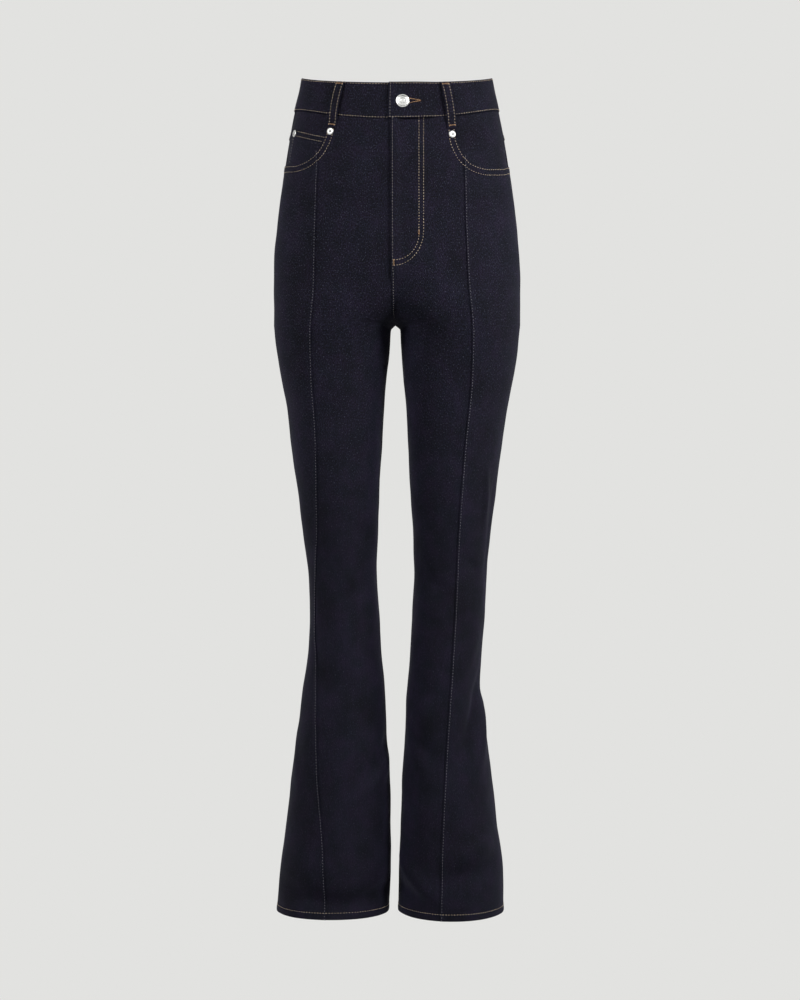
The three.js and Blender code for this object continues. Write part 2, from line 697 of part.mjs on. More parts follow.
function rivet({ name, leg, down, turn, lift }) {
  const r = RIVET_RADIUS;
  const profile = [[0, 0], [r, 0], [r, 0.4], [r * 0.7, 1.1], [r * 0.32, 1.3], [r * 0.25, 1.9], [0, 2]];
  return turned(name, profile, LEGS[leg], down, turn, lift);
}

// A geometry as a manifold-3d solid, and such a solid as a geometry.
function solid(geometry) {
  const bare = geometry.clone();
  bare.deleteAttribute('normal');
  bare.deleteAttribute('uv');
  const merged = mergeVertices(bare, 1e-4);
  return new wasm.Manifold(new wasm.Mesh({
    numProp: 3,
    vertProperties: new Float32Array(merged.attributes.position.array),
    triVerts: new Uint32Array(merged.index.array),
  }));
}

function geometryOf(manifold) {
  const mesh = manifold.getMesh();
  const geometry = new THREE.BufferGeometry();
  geometry.setAttribute('position', new THREE.BufferAttribute(mesh.vertProperties, 3));
  geometry.setIndex(new THREE.BufferAttribute(mesh.triVerts, 1));
  return facingOut(geometry);
}

// ---- The garment ----
const jeans = new THREE.Group();
jeans.add(waistband());
['left', 'right'].forEach((name) => {
  jeans.add(frontCentre(name), frontSide(name), pocketFacing(name), yoke(name), back(name), backPocket(name));
});
jeans.add(coinPocket(), zip(), button());
LOOPS.forEach((loop) => jeans.add(beltLoop(loop)));
RIVETS.forEach((row) => jeans.add(rivet(row)));

export default jeans;
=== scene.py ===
"""High-waisted bootcut jeans in dark rinsed denim: worn form, hollow, with nobody in them."""

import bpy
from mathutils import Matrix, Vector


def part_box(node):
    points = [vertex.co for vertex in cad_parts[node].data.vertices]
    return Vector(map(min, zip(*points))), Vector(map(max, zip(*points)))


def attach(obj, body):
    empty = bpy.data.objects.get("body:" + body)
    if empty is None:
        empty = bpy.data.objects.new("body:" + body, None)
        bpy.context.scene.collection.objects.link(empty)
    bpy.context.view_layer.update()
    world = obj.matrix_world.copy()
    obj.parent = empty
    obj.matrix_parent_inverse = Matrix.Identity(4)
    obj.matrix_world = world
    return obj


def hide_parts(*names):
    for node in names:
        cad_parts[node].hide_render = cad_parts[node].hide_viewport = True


bl_info = {
    "name": "Bootcut Jeans",
    "version": (1, 0, 0),
    "blender": (4, 5, 0),
    "location": "3D View > Sidebar > Jeans",
    "description": "Dresses the packed jeans with denim panels, topstitching and metal trim",
    "category": "Object",
}

import math
from functools import partial, reduce
from types import SimpleNamespace

import bpy
import numpy as np
from bpy.props import FloatProperty, FloatVectorProperty, PointerProperty
from mathutils import Vector

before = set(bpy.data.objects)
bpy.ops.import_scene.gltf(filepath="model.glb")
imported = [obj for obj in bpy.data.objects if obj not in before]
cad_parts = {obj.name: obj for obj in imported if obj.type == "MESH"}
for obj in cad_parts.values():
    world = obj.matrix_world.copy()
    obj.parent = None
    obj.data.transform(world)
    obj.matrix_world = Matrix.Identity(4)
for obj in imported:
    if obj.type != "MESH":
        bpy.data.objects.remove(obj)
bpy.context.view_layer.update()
MM = 0.001

# --- Driving sizes in millimetres, down from the side waist edge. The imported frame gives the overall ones.
HEM = -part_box("back_left")[0][2] / MM
CENTRE_X = -2.0                # the centre seams, a little to the wearer's right of the waist's middle
HALF_GAP = 0.15                # each half stops this far from the centre seam
CROTCH = 320.0
BAND_DEPTH = 43.5
WAIST_DIP = 18.2               # at the centre front the waist edge is lower than at the sides by this
FRONT_DIP = 21.4               # and the waistband's lower edge by this
DIP_ROUND = 0.12               # rounds the waist edge's dip off at the sides
BACK_RISE = 4.0
DIP_END = CROTCH - 20          # where the waist's dips have faded out
HEM_DIP = {"left": 3.0, "right": 1.0}   # each hem is lower in front by this
HEM_DIP_START = 900.0          # from where the leg's front drops to it
SQUARENESS = 2.15              # exponent of the superellipse sections, 2 is an ellipse
SOFT_SPAN = 36.0               # the inner edge is averaged over this much, up and down
SIDE_SEAM = math.pi / 2


def table(columns, rows):
    """Rows of numbers as dictionaries with named columns."""
    return [dict(zip(columns, row)) for row in rows]


# side and inseam are distances from the centre seams, front and back are depths before and behind the side
# seam, and lean is how far back the side seam sits.
SECTIONS = table((
    "down", "left_side", "left_inseam", "right_side", "right_inseam", "front", "back", "lean",
), [
    (-10, 123, 0, 118.5, 0, 85, 83, 0),
    (0, 125, 0, 121, 0, 86, 84, 0),
    (16, 128, 0, 124, 0, 87.5, 85, 0),
    (40, 133.5, 0, 130, 0, 90, 86, 0),
    (90, 143, 0, 139.5, 0, 95, 95, 0),
    (145, 151.5, 0, 147.5, 0, 99, 110, 0),
    (200, 158.5, 0, 154.5, 0, 101, 124, 1),
    (240, 161.5, 0, 157.5, 0, 101, 127, 2),
    (280, 162, 0, 158, 0, 98, 122, 3),
    (320, 162, 0, 158, 0, 91, 110, 4),
    (326, 161.5, 6, 157.5, 5.5, 90, 108, 4.3),
    (345, 159.5, 7, 155.5, 7, 86, 100, 5),
    (385, 154, 10, 149, 11, 81, 88, 5.5),
    (430, 145.5, 14, 140.5, 14.5, 76, 78, 5),
    (480, 137.5, 16.5, 135, 17.5, 72, 70, 4),
    (540, 130, 19, 126.5, 21, 66, 64, 3),
    (590, 123.5, 23, 120, 22.5, 61, 60, 3),
    (640, 119, 24, 113.5, 24, 57, 57, 4),
    (690, 116.5, 22, 111, 21, 58, 59, 6),
    (740, 112.5, 19, 113.5, 18.5, 61, 63, 8),
    (790, 110, 15.5, 120, 14, 64, 67, 9),
    (810, 113, 14, 122.5, 13, 66, 69, 9),
    (850, 118.5, 12.5, 127.5, 11, 69, 72, 9),
    (910, 125.5, 8.5, 135.5, 7, 74, 76, 9),
    (970, 132.5, 6.5, 142.5, 6, 79, 80, 8),
    (1030, 140, 4.5, 150, 6, 83, 83, 7),
    (1080, 141, 3.5, 154, 8, 86, 85, 6),
])
# How far the halves have closed into separate legs: 0 is one open body, 1 two round legs at the crotch.
CLEFT = table(("down", "front", "back"), [
    (-10, 0, 0), (120, 0, 0), (160, 0, 0.1), (200, 0.03, 0.22), (240, 0.11, 0.34), (270, 0.26, 0.46),
    (290, 0.44, 0.59), (305, 0.65, 0.75), (313, 0.82, 0.87), (318, 0.94, 0.955), (320, 1, 1),
])
# The seam down the front of each leg, as a distance from the centre seams.
FRONT_SEAM = table(("down", "left", "right"), [
    (80, 86, 97.5), (220, 89.5, 101), (280, 93, 102.5), (335, 97.5, 106.5), (385, 96.5, 105.5),
    (480, 88, 100), (585, 80.5, 99), (700, 75.5, 102), (800, 69, 100.5), (890, 63.5, 99),
    (1000, 58.5, 90.5), (1080, 57, 88),
])
# The scooped pocket mouths, as distances from the centre seams.
RIGHT_MOUTH = table(("across", "down"), [
    (82.5, 42), (84, 52), (87.5, 68), (92, 81), (98.5, 93), (107, 102.5), (118, 110.5), (130, 114.5),
    (150, 115),
])
LEFT_MOUTH = table(("across", "down"), [
    (74, 42), (75, 52), (77, 73), (81.5, 87), (87, 98), (98.5, 110), (118, 117.5), (136, 118.5), (150, 114),
])
SEAM_MEETS_MOUTH = {"left": 97, "right": 92}
HIP_LEVEL = 85                 # where the mouths' shapes are laid on the flat
MOUTH_LEVEL = 110              # near the mouths' lowest points
# The yoke's seam: turn is 90 at the side and 180 at the centre back.
YOKE_SEAM = table(("turn", "down"), [(90, 78), (120, 88), (150, 104), (180, 118)])

# Folds and creases. A row runs from one place to another, in degrees round the leg from its front, and stands
# out by height, or in where that is negative. width is its half-width.
FOLD_COLUMNS = ("leg", "down", "turn", "end_down", "end_turn", "height", "width")
FOLD_RADIUS = 80.0
FOLDS = table(FOLD_COLUMNS, [
    ("left", 782, 68, 895, 8, -7, 14),
    ("left", 815, 82, 915, 28, 4, 14),
    ("left", 725, 52, 800, 4, 3, 16),
    ("left", 1006, -72, 1050, -20, 6, 13),
    ("left", 1044, -84, 1064, -22, -7, 13),
    ("left", 1006, -6, 988, 48, 5.5, 14),
    ("left", 1032, -4, 1012, 50, -5, 13),
    ("right", 852, -82, 907, -30, -3, 12),
    ("right", 880, -82, 927, -20, 3.5, 12),
    ("right", 1044, 64, 1062, -10, -9, 14),
    ("right", 1062, -10, 1048, -74, -9, 14),
    ("both", 395, 120, 470, 240, -3, 18),
    ("both", 345, 175, 385, 240, -2.5, 18),
    ("both", 600, 130, 625, 235, -2.5, 14),
])
# Softer creases that only the cloth shows.
CREASES = table(FOLD_COLUMNS, [
    ("left", 833, -63, 884, -9, -2.8, 12),
    ("left", 860, -60, 915, -14, 1.6, 12),
    ("left", 792, -58, 801, -3, -2.0, 15),
    ("left", 960, -40, 930, 12, 1.2, 16),
    ("left", 940, 20, 900, 70, 1.4, 18),
    ("left", 509, 44, 575, 51, 3.2, 8),
    ("left", 520, 66, 640, 68, -1.4, 9),
    ("left", 300, -2, 258, 46, -1.3, 15),
    ("left", 338, -12, 300, 34, -1.1, 12),
    ("left", 624, 21, 636, 41, -1.8, 8),
    ("left", 636, -57, 664, -11, -2.2, 11),
    ("left", 676, -50, 700, -8, 1.3, 12),
    ("right", 296, -2, 250, 42, -1.3, 16),
    ("right", 334, -14, 292, 30, -1.1, 12),
    ("right", 387, -43, 373, -74, -1.6, 9),
    ("right", 585, -20, 606, -68, -1.8, 11),
    ("right", 612, 40, 700, 46, 1.5, 8),
    ("right", 655, -44, 676, 6, -1.4, 10),
    ("right", 700, -58, 742, -20, 1.4, 12),
    ("right", 740, 52, 792, 14, -1.4, 11),
    ("right", 789, -9, 852, -53, -1.8, 14),
    ("right", 852, 86, 928, 47, 1.6, 12),
    ("right", 922, 26, 992, 8, -1.4, 9),
    ("right", 960, -10, 985, -60, -1.3, 13),
    ("right", 1010, 48, 1022, -30, 1.6, 14),
    ("left", 372, 168, 404, 228, 1.6, 9),
    ("right", 366, 172, 410, 224, 1.5, 10),
    ("left", 430, 128, 500, 196, -1.6, 11),
    ("right", 446, 122, 492, 208, -1.4, 10),
    ("left", 575, 118, 610, 176, 1.4, 10),
    ("right", 566, 124, 622, 188, 1.6, 11),
    ("left", 628, 150, 662, 226, -1.5, 10),
    ("right", 640, 138, 668, 220, -1.3, 11),
    ("left", 880, 130, 940, 214, -1.6, 13),
    ("right", 846, 146, 930, 204, 1.6, 15),
    ("left", 1040, 132, 1052, 226, -1.8, 11),
    ("right", 1030, 138, 1056, 220, -1.7, 12),
])


# --- The garment's outer surface, in millimetres. turn goes round one half in radians: 0 is its front, a
# quarter turn its side seam, half a turn its back. Every function takes whole arrays of places.
def mix(a, b, t):
    return a + (b - a) * t


def ease(t):
    x = np.clip(t, 0, 1)
    return x * x * (3 - 2 * x)


def dent(distance, width):
    """1 on a line, and nearly 0 at twice the width from it."""
    return np.exp(-(distance / width) ** 2)


def nearest(*distances):
    return reduce(np.minimum, distances)


def arc_lengths(points):
    """How far along each row of points every point lies."""
    steps = np.linalg.norm(np.diff(points, axis=-2), axis=-1)
    start = np.zeros(steps.shape[:-1] + (1,))
    return np.concatenate((start, np.cumsum(steps, axis=-1)), axis=-1)


def curve(rows, key, value):
    """A smooth curve through a table's rows that never overshoots them."""
    xs = np.array([row[key] for row in rows], float)
    ys = np.array([row[value] for row in rows], float)
    steps = np.diff(xs)
    slopes = np.diff(ys) / steps
    tangents = np.zeros(len(xs))
    tangents[0], tangents[-1] = slopes[0], slopes[-1]
    for i in range(1, len(xs) - 1):
        if slopes[i - 1] * slopes[i] > 0:
            before = 2 * steps[i] + steps[i - 1]
            after = steps[i] + 2 * steps[i - 1]
            tangents[i] = (before + after) / (before / slopes[i - 1] + after / slopes[i])

    def at(place):
        x = np.clip(place, xs[0], xs[-1])
        i = np.clip(np.searchsorted(xs, x, side="right") - 1, 0, len(steps) - 1)
        t = (x - xs[i]) / steps[i]
        return ((1 + 2 * t) * (1 - t) ** 2 * ys[i] + t * (1 - t) ** 2 * steps[i] * tangents[i]
                + t * t * (3 - 2 * t) * ys[i + 1] + t * t * (t - 1) * steps[i] * tangents[i + 1])

    return at


front_depth = curve(SECTIONS, "down", "front")
back_depth = curve(SECTIONS, "down", "back")
side_lean = curve(SECTIONS, "down", "lean")
front_cleft = curve(CLEFT, "down", "front")
back_cleft = curve(CLEFT, "down", "back")
yoke_seam = curve(YOKE_SEAM, "turn", "down")


def half(name, sign, mouth):
    """One half of the garment with its curves; falling is the part of the mouth that only goes down."""
    lowest = max(range(len(mouth)), key=lambda i: mouth[i]["down"])
    falling = mouth[:lowest + 1]
    return SimpleNamespace(
        name=name,
        sign=sign,
        side=curve(SECTIONS, "down", f"{name}_side"),
        inseam=curve([row for row in SECTIONS if row["down"] >= CROTCH], "down", f"{name}_inseam"),
        seam=curve(FRONT_SEAM, "down", name),
        mouth=curve(mouth, "across", "down"),
        mouth_across=curve(falling, "down", "across"),
        meet=SEAM_MEETS_MOUTH[name],
        hem_dip=HEM_DIP[name],
        folds=[row for row in FOLDS + CREASES if row["leg"] in (name, "both")],
    )


LEGS = {"left": half("left", 1, LEFT_MOUTH), "right": half("right", -1, RIGHT_MOUTH)}


def real_down(down, turn):
    """The waist's dip at the front and rise at the back fade out between the waistband and the crotch."""
    facing = np.cos(turn)
    waist = WAIST_DIP * (np.hypot(facing, DIP_ROUND) - DIP_ROUND) / (math.hypot(1, DIP_ROUND) - DIP_ROUND)
    front = mix(waist, FRONT_DIP * facing * facing, np.clip(down / BAND_DEPTH, 0, 1))
    dip = np.where(facing > 0, front, -BACK_RISE * facing * facing)
    return down + dip * (1 - ease((down - BAND_DEPTH) / (DIP_END - BAND_DEPTH)))


def inner_edge(leg, level, facing):
    """The section's inner edge: beyond the centre seam above the crotch, the inseam below it."""
    closed = np.where(facing > 0, front_cleft(level), back_cleft(level))
    return np.where(level >= CROTCH, leg.inseam(level), leg.side(level) * (closed - 1) / (1 + closed))


def across_at(leg, level, turn):
    """The distance from the centre seam. Away from it, the inner edge is averaged over nearby levels."""
    facing = np.cos(turn)
    sine = np.sin(turn)
    round_ = np.sign(sine) * np.abs(sine) ** (2 / SQUARENESS)
    soft = sum(inner_edge(leg, level + part * SOFT_SPAN / 3, facing) for part in range(-3, 4)) / 7
    inner = mix(soft, inner_edge(leg, level, facing), ease(-round_))
    return mix(inner, leg.side(level), (1 + round_) / 2)


HALVINGS = 26                  # enough to place a seam to some millionths of a millimetre


def turn_where(leg, down, across, low, high):
    """The turn between low and high at which the surface is this far across from the centre seam."""
    low = np.zeros_like(down) + low
    high = np.zeros_like(down) + high
    for _ in range(HALVINGS):
        turn = (low + high) / 2
        short = across_at(leg, real_down(down, turn), turn) < across
        low, high = np.where(short, turn, low), np.where(short, high, turn)
    return (low + high) / 2


def turn_across(leg, down, across):
    return turn_where(leg, down, across, -SIDE_SEAM, SIDE_SEAM)


# How far one half laps over the other at the centre seams, and the other runs on under it.
CENTRE_LAP = table(("down", "front", "back", "under"), [
    (40, 5.4, 3.5, 3.0), (246, 5.3, 3.5, 3.0), (276, 4.4, 3.5, 3.0), (306, 3.9, 2.5, 3.0),
    (315, 2.0, 1.0, 2.0), (319.9, 0.0, 0.0, 0.0),
])


def centre_reach(leg, down, face):
    return curve(CENTRE_LAP, "down", face if leg.sign > 0 else "under")(down)


# How far past a half's own surface a centre seam is looked for, in radians.
PAST_CENTRE = 0.2


def front_end(leg, down):
    """Where a front panel ends, lapped at the centre seam, or at the inseam below the crotch."""
    reach = centre_reach(leg, down, "front")
    return np.where(down < CROTCH, turn_where(leg, down, -reach, -SIDE_SEAM, PAST_CENTRE), -SIDE_SEAM)


def back_end(leg, down):
    """Where a back panel ends, lapped at the centre back seam, or at the inseam below the crotch."""
    reach = centre_reach(leg, down, "back")
    seam = turn_where(leg, down, -reach, 3 * SIDE_SEAM, math.pi - PAST_CENTRE)
    return np.where(down < CROTCH, seam, 3 * SIDE_SEAM)


def smooth_point(leg, down, turn):
    level = real_down(down, turn)
    facing = np.cos(turn)
    hem_dip = leg.hem_dip * np.maximum(facing, 0) ** 2 * ease((down - HEM_DIP_START) / (HEM - HEM_DIP_START))
    depth = np.where(facing > 0, -front_depth(level), back_depth(level))
    y = side_lean(level) + depth * np.abs(facing) ** (2 / SQUARENESS)
    x = CENTRE_X + leg.sign * (HALF_GAP + across_at(leg, level, turn))
    return np.stack((x, y, -level - hem_dip), axis=-1)


def fold_height(leg, down, turn):
    """All the folds at a place, each deepest in its middle and fading to its ends and sides."""
    height = np.zeros_like(turn)
    for fold in leg.folds:
        along = (fold["end_down"] - fold["down"], math.radians(fold["end_turn"] - fold["turn"]) * FOLD_RADIUS)
        here = (down - fold["down"], (turn - math.radians(fold["turn"])) * FOLD_RADIUS)
        t = np.clip((here[0] * along[0] + here[1] * along[1]) / (along[0] ** 2 + along[1] ** 2), 0, 1)
        away = ((here[0] - along[0] * t) ** 2 + (here[1] - along[1] * t) ** 2) / fold["width"] ** 2
        height = height + fold["height"] * np.exp(-away) * (0.4 + 2.4 * t * (1 - t))
    return height


def slack(leg, down, turn):
    """The cloth's own unevenness, under a millimetre, so that no stretch of it is perfectly drawn."""
    b = turn * FOLD_RADIUS * leg.sign
    centre = np.abs(across_at(leg, real_down(down, turn), turn))
    calm = (0.35 + 0.65 * ease((down - 60) / 80)) * ease(centre / 26 + np.maximum(down - CROTCH, 0) / 40)
    return calm * (0.34 * np.sin(down / 23 + b / 31 + 1.3) * np.sin(b / 17 - down / 71 + 0.4)
                   + 0.24 * np.sin(down / 11.3 - b / 26 + 2.2) * np.sin(b / 13 + down / 47)
                   + 0.10 * np.sin(down / 6.1 + b / 9.7) * np.sin(down / 29 - b / 7.3))


def skin(leg, down, turn, lift=0.0):
    """The outer surface with its folds, or a point that stands off it by lift. What one half laps over the
    centre seam lies on the other half."""
    down, turn, lift = (np.array(part, float) for part in np.broadcast_arrays(down, turn, lift))
    past = (down < CROTCH) & (across_at(leg, real_down(down, turn), turn) < 0)
    if past.any() and leg.sign > 0:
        other = LEGS["right"]
        level, over = down[past], turn[past]
        across = -across_at(leg, real_down(level, over), over)
        ahead = np.cos(over) > 0
        seat = turn_where(other, level, across, 3 * SIDE_SEAM, math.pi - PAST_CENTRE)
        place = np.where(ahead, turn_where(other, level, across, -SIDE_SEAM, 0.3), seat)
        points = np.empty(down.shape + (3,))
        points[past] = skin(other, level, place, lift[past])
        points[~past] = skin(leg, down[~past], turn[~past], lift[~past])
        return points
    radians, level = 0.004, 0.5
    here = smooth_point(leg, down, turn)
    round_ = smooth_point(leg, down, turn + radians) - smooth_point(leg, down, turn - radians)
    below = smooth_point(leg, down + level, turn) - smooth_point(leg, down - level, turn)
    normal = np.cross(round_, below) * -leg.sign
    normal /= np.linalg.norm(normal, axis=-1, keepdims=True)
    height = lift + fold_height(leg, down, turn) + slack(leg, down, turn)
    return here + normal * height[..., None]


# --- Laying a panel: where its edges are, how far each place is from them, and its closed mesh
FINE = np.linspace(0, 1, 161)
# Columns of a panel at these distances from each side edge, for the turned edge, its ridge and its stitching.
EDGE_STEPS = np.array([0, 0.25, 0.6, 1.0, 1.5, 2.1, 2.8, 3.8, 5.2, 6.8, 8.2, 9.0, 9.8, 11.4, 14])


def measured(leg, down, start, end):
    """For each level, turns from start to end and how far along the surface each lies."""
    turns = mix(start[:, None], end[:, None], FINE)
    return turns, arc_lengths(smooth_point(leg, down[:, None] + 0 * turns, turns))


def measured_rows(piece, down):
    return measured(piece.leg, down, piece.start(down), piece.end(down))


def row_wise(values, xs, ys):
    return np.stack([np.interp(value, x, y) for value, x, y in zip(values, xs, ys)])


def levels(start, *runs):
    """Levels from start down: each run goes on until a level, by about so many millimetres a row."""
    out = [float(start)]
    for stop, gap in runs:
        count = max(1, round((stop - out[-1]) / gap))
        out.extend(np.linspace(out[-1], stop, count + 1)[1:])
    return np.array(out)


def spread(length, gap):
    """Distances from the first side edge for every column, close together near both side edges."""
    middle = max(2, round((length.mean() - 2 * EDGE_STEPS[-1]) / gap))
    inner = EDGE_STEPS[-1] + np.linspace(0, 1, middle + 1)[1:-1] * (length[:, None] - 2 * EDGE_STEPS[-1])
    first = np.zeros_like(length)[:, None] + EDGE_STEPS
    return np.concatenate((first, inner, length[:, None] - EDGE_STEPS[::-1]), axis=1)


def side_seam(down):
    return SIDE_SEAM + 0 * down


def panel(name, leg, start, end, base, lift, level=None, thick=None, gap=3.2):
    """What a panel is: its side edges, its rows' levels, and how far it stands off the surface."""
    return SimpleNamespace(
        name=name, leg=leg, start=start, end=end, base=base, lift=lift, gap=gap,
        level=level or (lambda down, turn: down),
        thick=thick or (lambda down, left: CLOTH + 0 * down),
    )


def outer_place(piece, down, turn, stand=0.0):
    """Points on a panel's outer face at chosen places, standing off it by stand."""
    down = np.asarray(down, float)
    turn = np.asarray(turn, float) + 0 * down
    turns, arcs = measured_rows(piece, down)
    left = row_wise(turn[:, None], turns, arcs)[:, 0]
    return skin(piece.leg, down, turn, piece.lift(down, turn, left, arcs[:, -1] - left) + stand)


def edge_places(piece, down, left=None, right=None):
    """The turns on a panel at a distance from its first or its last side edge."""
    down = np.asarray(down, float)
    turns, arcs = measured_rows(piece, down)
    distance = arcs[:, -1] - right if left is None else left + 0 * down
    return row_wise(distance[:, None], arcs, turns)[:, 0]


def rim(distance, radius):
    """How far a face is drawn in near an edge, so that the edge is round."""
    t = np.clip(distance / radius, 0, 1)
    return radius * (1 - np.sqrt(1 - (1 - t) ** 2))


def panel_points(piece):
    """The two faces of a panel as grids of points, and the places of its cloth's pattern."""
    leg = piece.leg
    turns, arcs = measured_rows(piece, piece.base)
    length = arcs[:, -1]
    left = spread(length, piece.gap)
    right = length[:, None] - left
    fraction = row_wise(left, arcs, FINE[None, :] + 0 * arcs)
    first = row_wise(left, arcs, turns)
    down = piece.level(piece.base[:, None] + 0 * first, first)
    slanted = np.abs(down - piece.base[:, None]).max(axis=1) >= 1e-6
    turn = first.copy()
    if slanted.any():
        part = down[slanted]
        turn[slanted] = mix(piece.start(part), piece.end(part), fraction[slanted])
    thick = piece.thick(down, left)
    drawn = rim(nearest(left, right, down - down[0], down[-1] - down), 0.42 * thick)
    lift = piece.lift(down, turn, left, right)
    outer = skin(leg, down, turn, lift - drawn)
    inner = skin(leg, down, turn, lift - thick + drawn)
    return outer, inner, left - length[:, None] / 2, down


def new_piece(name, data):
    piece = bpy.data.objects.new(name, data)
    bpy.context.scene.collection.objects.link(piece)
    return piece


def ring_faces(rings, segments):
    """Quads between rings of points."""
    return [(j * segments + k, j * segments + (k + 1) % segments,
             (j + 1) * segments + (k + 1) % segments, (j + 1) * segments + k)
            for j in range(rings - 1) for k in range(segments)]


def cloth_object(name, outer, inner, across, down, materials, turned_up=None):
    """A closed sheet from its two faces. across and down are its pattern's coordinates, in millimetres."""
    rows, columns = outer.shape[:2]
    count = rows * columns
    points = np.concatenate((outer.reshape(-1, 3), inner.reshape(-1, 3))) * MM
    index = np.arange(count).reshape(rows, columns)
    cells = [index[:-1, :-1], index[1:, :-1], index[1:, 1:], index[:-1, 1:]]
    front = np.stack([corner.ravel() for corner in cells], axis=1)
    ring = np.concatenate((index[0, :-1], index[:-1, -1], index[-1, :0:-1], index[:0:-1, 0]))
    after = np.roll(ring, -1)
    sides = np.stack((ring, after, after + count, ring + count), axis=1)
    faces = np.concatenate((front, front[:, ::-1] + count, sides))
    corner = points[faces]
    crossed = np.cross(corner[:, 1] - corner[:, 0], corner[:, 2] - corner[:, 0])
    crossed += np.cross(corner[:, 2] - corner[:, 0], corner[:, 3] - corner[:, 0])
    if (corner[:, 0] * crossed).sum() < 0:
        faces = faces[:, ::-1]
    mesh = bpy.data.meshes.new(name)
    mesh.from_pydata(points.tolist(), [], faces.tolist())
    slot = np.zeros(len(faces), int)
    slot[len(front):2 * len(front)] = 1
    if turned_up is not None:
        centre = down[:-1, :-1].ravel()
        slot[len(front):2 * len(front)][centre > turned_up] = 0
    mesh.polygons.foreach_set("material_index", slot)
    for item in materials:
        mesh.materials.append(item)
    pattern = np.stack((np.tile(across.ravel(), 2), np.tile(-down.ravel(), 2)), axis=1) * MM
    layer = mesh.uv_layers.new(name="Cut")
    loops = np.zeros(len(mesh.loops), int)
    mesh.loops.foreach_get("vertex_index", loops)
    layer.data.foreach_set("uv", pattern[loops].ravel())
    mesh.shade_smooth()
    return new_piece(name, mesh)


# --- The panels
CLOTH = 1.2
HEM_CLOTH = 2.6
HEM_DEPTH = 12.0
HEM_ROW = 8.5                  # the hem's stitching, above its edge
TURNED_UP = HEM - HEM_DEPTH    # below this the cloth's right side shows inside too
TWIN_ROWS = (2.0, 8.5)         # a twin row of stitching, from the edge it runs beside
MOUTH_ROWS = (2.0, 9.0)
COIN_ROWS = (2.0, 8.0)
SEAM_ROW = 1.9                 # a single row, from the edge it runs beside
TUCK = 3.5                     # how far a panel runs on under the one lapped over it
LAP = 1.3                      # a lapped edge's height
FLY_END = 246.0
FLY_LIFT = 1.7
FLY_EDGE = 2.3                 # how much thicker its turned edge is
ROW_DENT = 0.22                # how deep stitching presses the cloth in
MOUTH_HEM = 9.9                # the pocket mouth's turned hem, with a row near each of its sides
FACING_LIFT = -2.0             # the pocket facing lies behind the front
FACING_TUCK = 14.0             # how far it runs on under the front
# Where the wearer's left facing falls back from the mouth.
HOLLOW = SimpleNamespace(depth=5.0, down=84, half_height=17, turn=math.radians(42), half_turn=0.2)
PATCH_CLOTH = 1.1
COIN_POCKET = SimpleNamespace(inner=71.0, outer=67.5, across=92.0, turn=math.radians(74))
BAND_CLOTH = 2.2
BAND_LIFT = 0.9
OVER_END = -3.0                # the band's upper end, in degrees round the waist from the centre front
UNDER_END = 374.0              # and its lower end, after a full turn
LAP_STOP = UNDER_END - 360     # the upper end rises over the lower one as far as here
OVER_LIFT = 2.3
OVER_FADE = 9.0
UNDER_DROP = 0.2
UNDER_START = 352.0
UNDER_FADE = 4.0
END_EXTRA = 1.1                # how much thicker the upper end is, where it is folded in
END_STOP = UNDER_END - 366
END_FADE = 8.0
BAND_ROWS = (1.9, BAND_DEPTH - 1.5)
LOOP_CLOTH = 1.6
LOOP_WIDTH = 12.4


def to_hem(leg_gap, hem_gap, low_gap):
    """Runs of rows from the crotch to the hem, closer together towards its edge."""
    return (HEM - 30, leg_gap), (HEM - 14, hem_gap), (HEM - 6, low_gap), (HEM - 1.2, 0.8), (HEM, 0.3)


PANEL_BASE = levels(BAND_DEPTH - TUCK, (56, 1.5), (130, 2.4), (285, 3.2), (345, 1.4), *to_hem(3.3, 1.6, 1.0))


def lap(distance, height, width):
    """A lapped edge's height, easing down to the flat panel."""
    return height * (1 - ease(distance / width))


def seamed(distance):
    """An edge drawn in at the seam that joins it to its neighbour."""
    return lap(distance, -0.7, 2.4)


def twin_dents(distance):
    """Where a twin row of stitching presses the cloth in beside an edge."""
    return sum(dent(distance - inside, 0.8) for inside in TWIN_ROWS)


def until(down, end, fade=12.0):
    """1 down to a level, then fading to 0."""
    return 1 - ease((down - end) / fade)


def pucker(leg, down, distance):
    """The small waves that stitching draws up along a seam."""
    wave = np.sin(down / 1.75 + 2.2 * np.sin(down / 19) + leg.sign) * (0.6 + 0.4 * np.sin(down / 43 + 1))
    return 0.17 * wave * dent(distance - 3.4, 4.2)


def hem_lift(leg, down, turn):
    """The turned hem: fuller below its stitching, with the slanting waves that the turning leaves."""
    above = HEM - down
    full = 1 - ease((above - HEM_ROW + 0.8) / 2.4)
    slant = np.sin(turn * FOLD_RADIUS / 2.1 + above / 2.6 + leg.sign)
    row = -0.3 * dent(above - HEM_ROW, 1.1)
    return full * (0.35 + 0.16 * slant * dent(above - 4.5, 4)) + row


def panel_thickness(down, left=None):
    return CLOTH + (HEM_CLOTH - CLOTH) * ease((down - TURNED_UP + 0.6) / 1.2)


def mouth_level(leg, turn):
    """The level of the pocket mouth's edge straight below a turn."""
    return leg.mouth(np.abs(smooth_point(leg, MOUTH_LEVEL + 0 * turn, turn)[..., 0] - CENTRE_X))


def flat_maps(leg):
    """At the hip, turns and their distances along the surface from the centre front."""
    turns = np.linspace(0, SIDE_SEAM, 240)
    return turns, arc_lengths(smooth_point(leg, HIP_LEVEL + 0 * turns, turns))


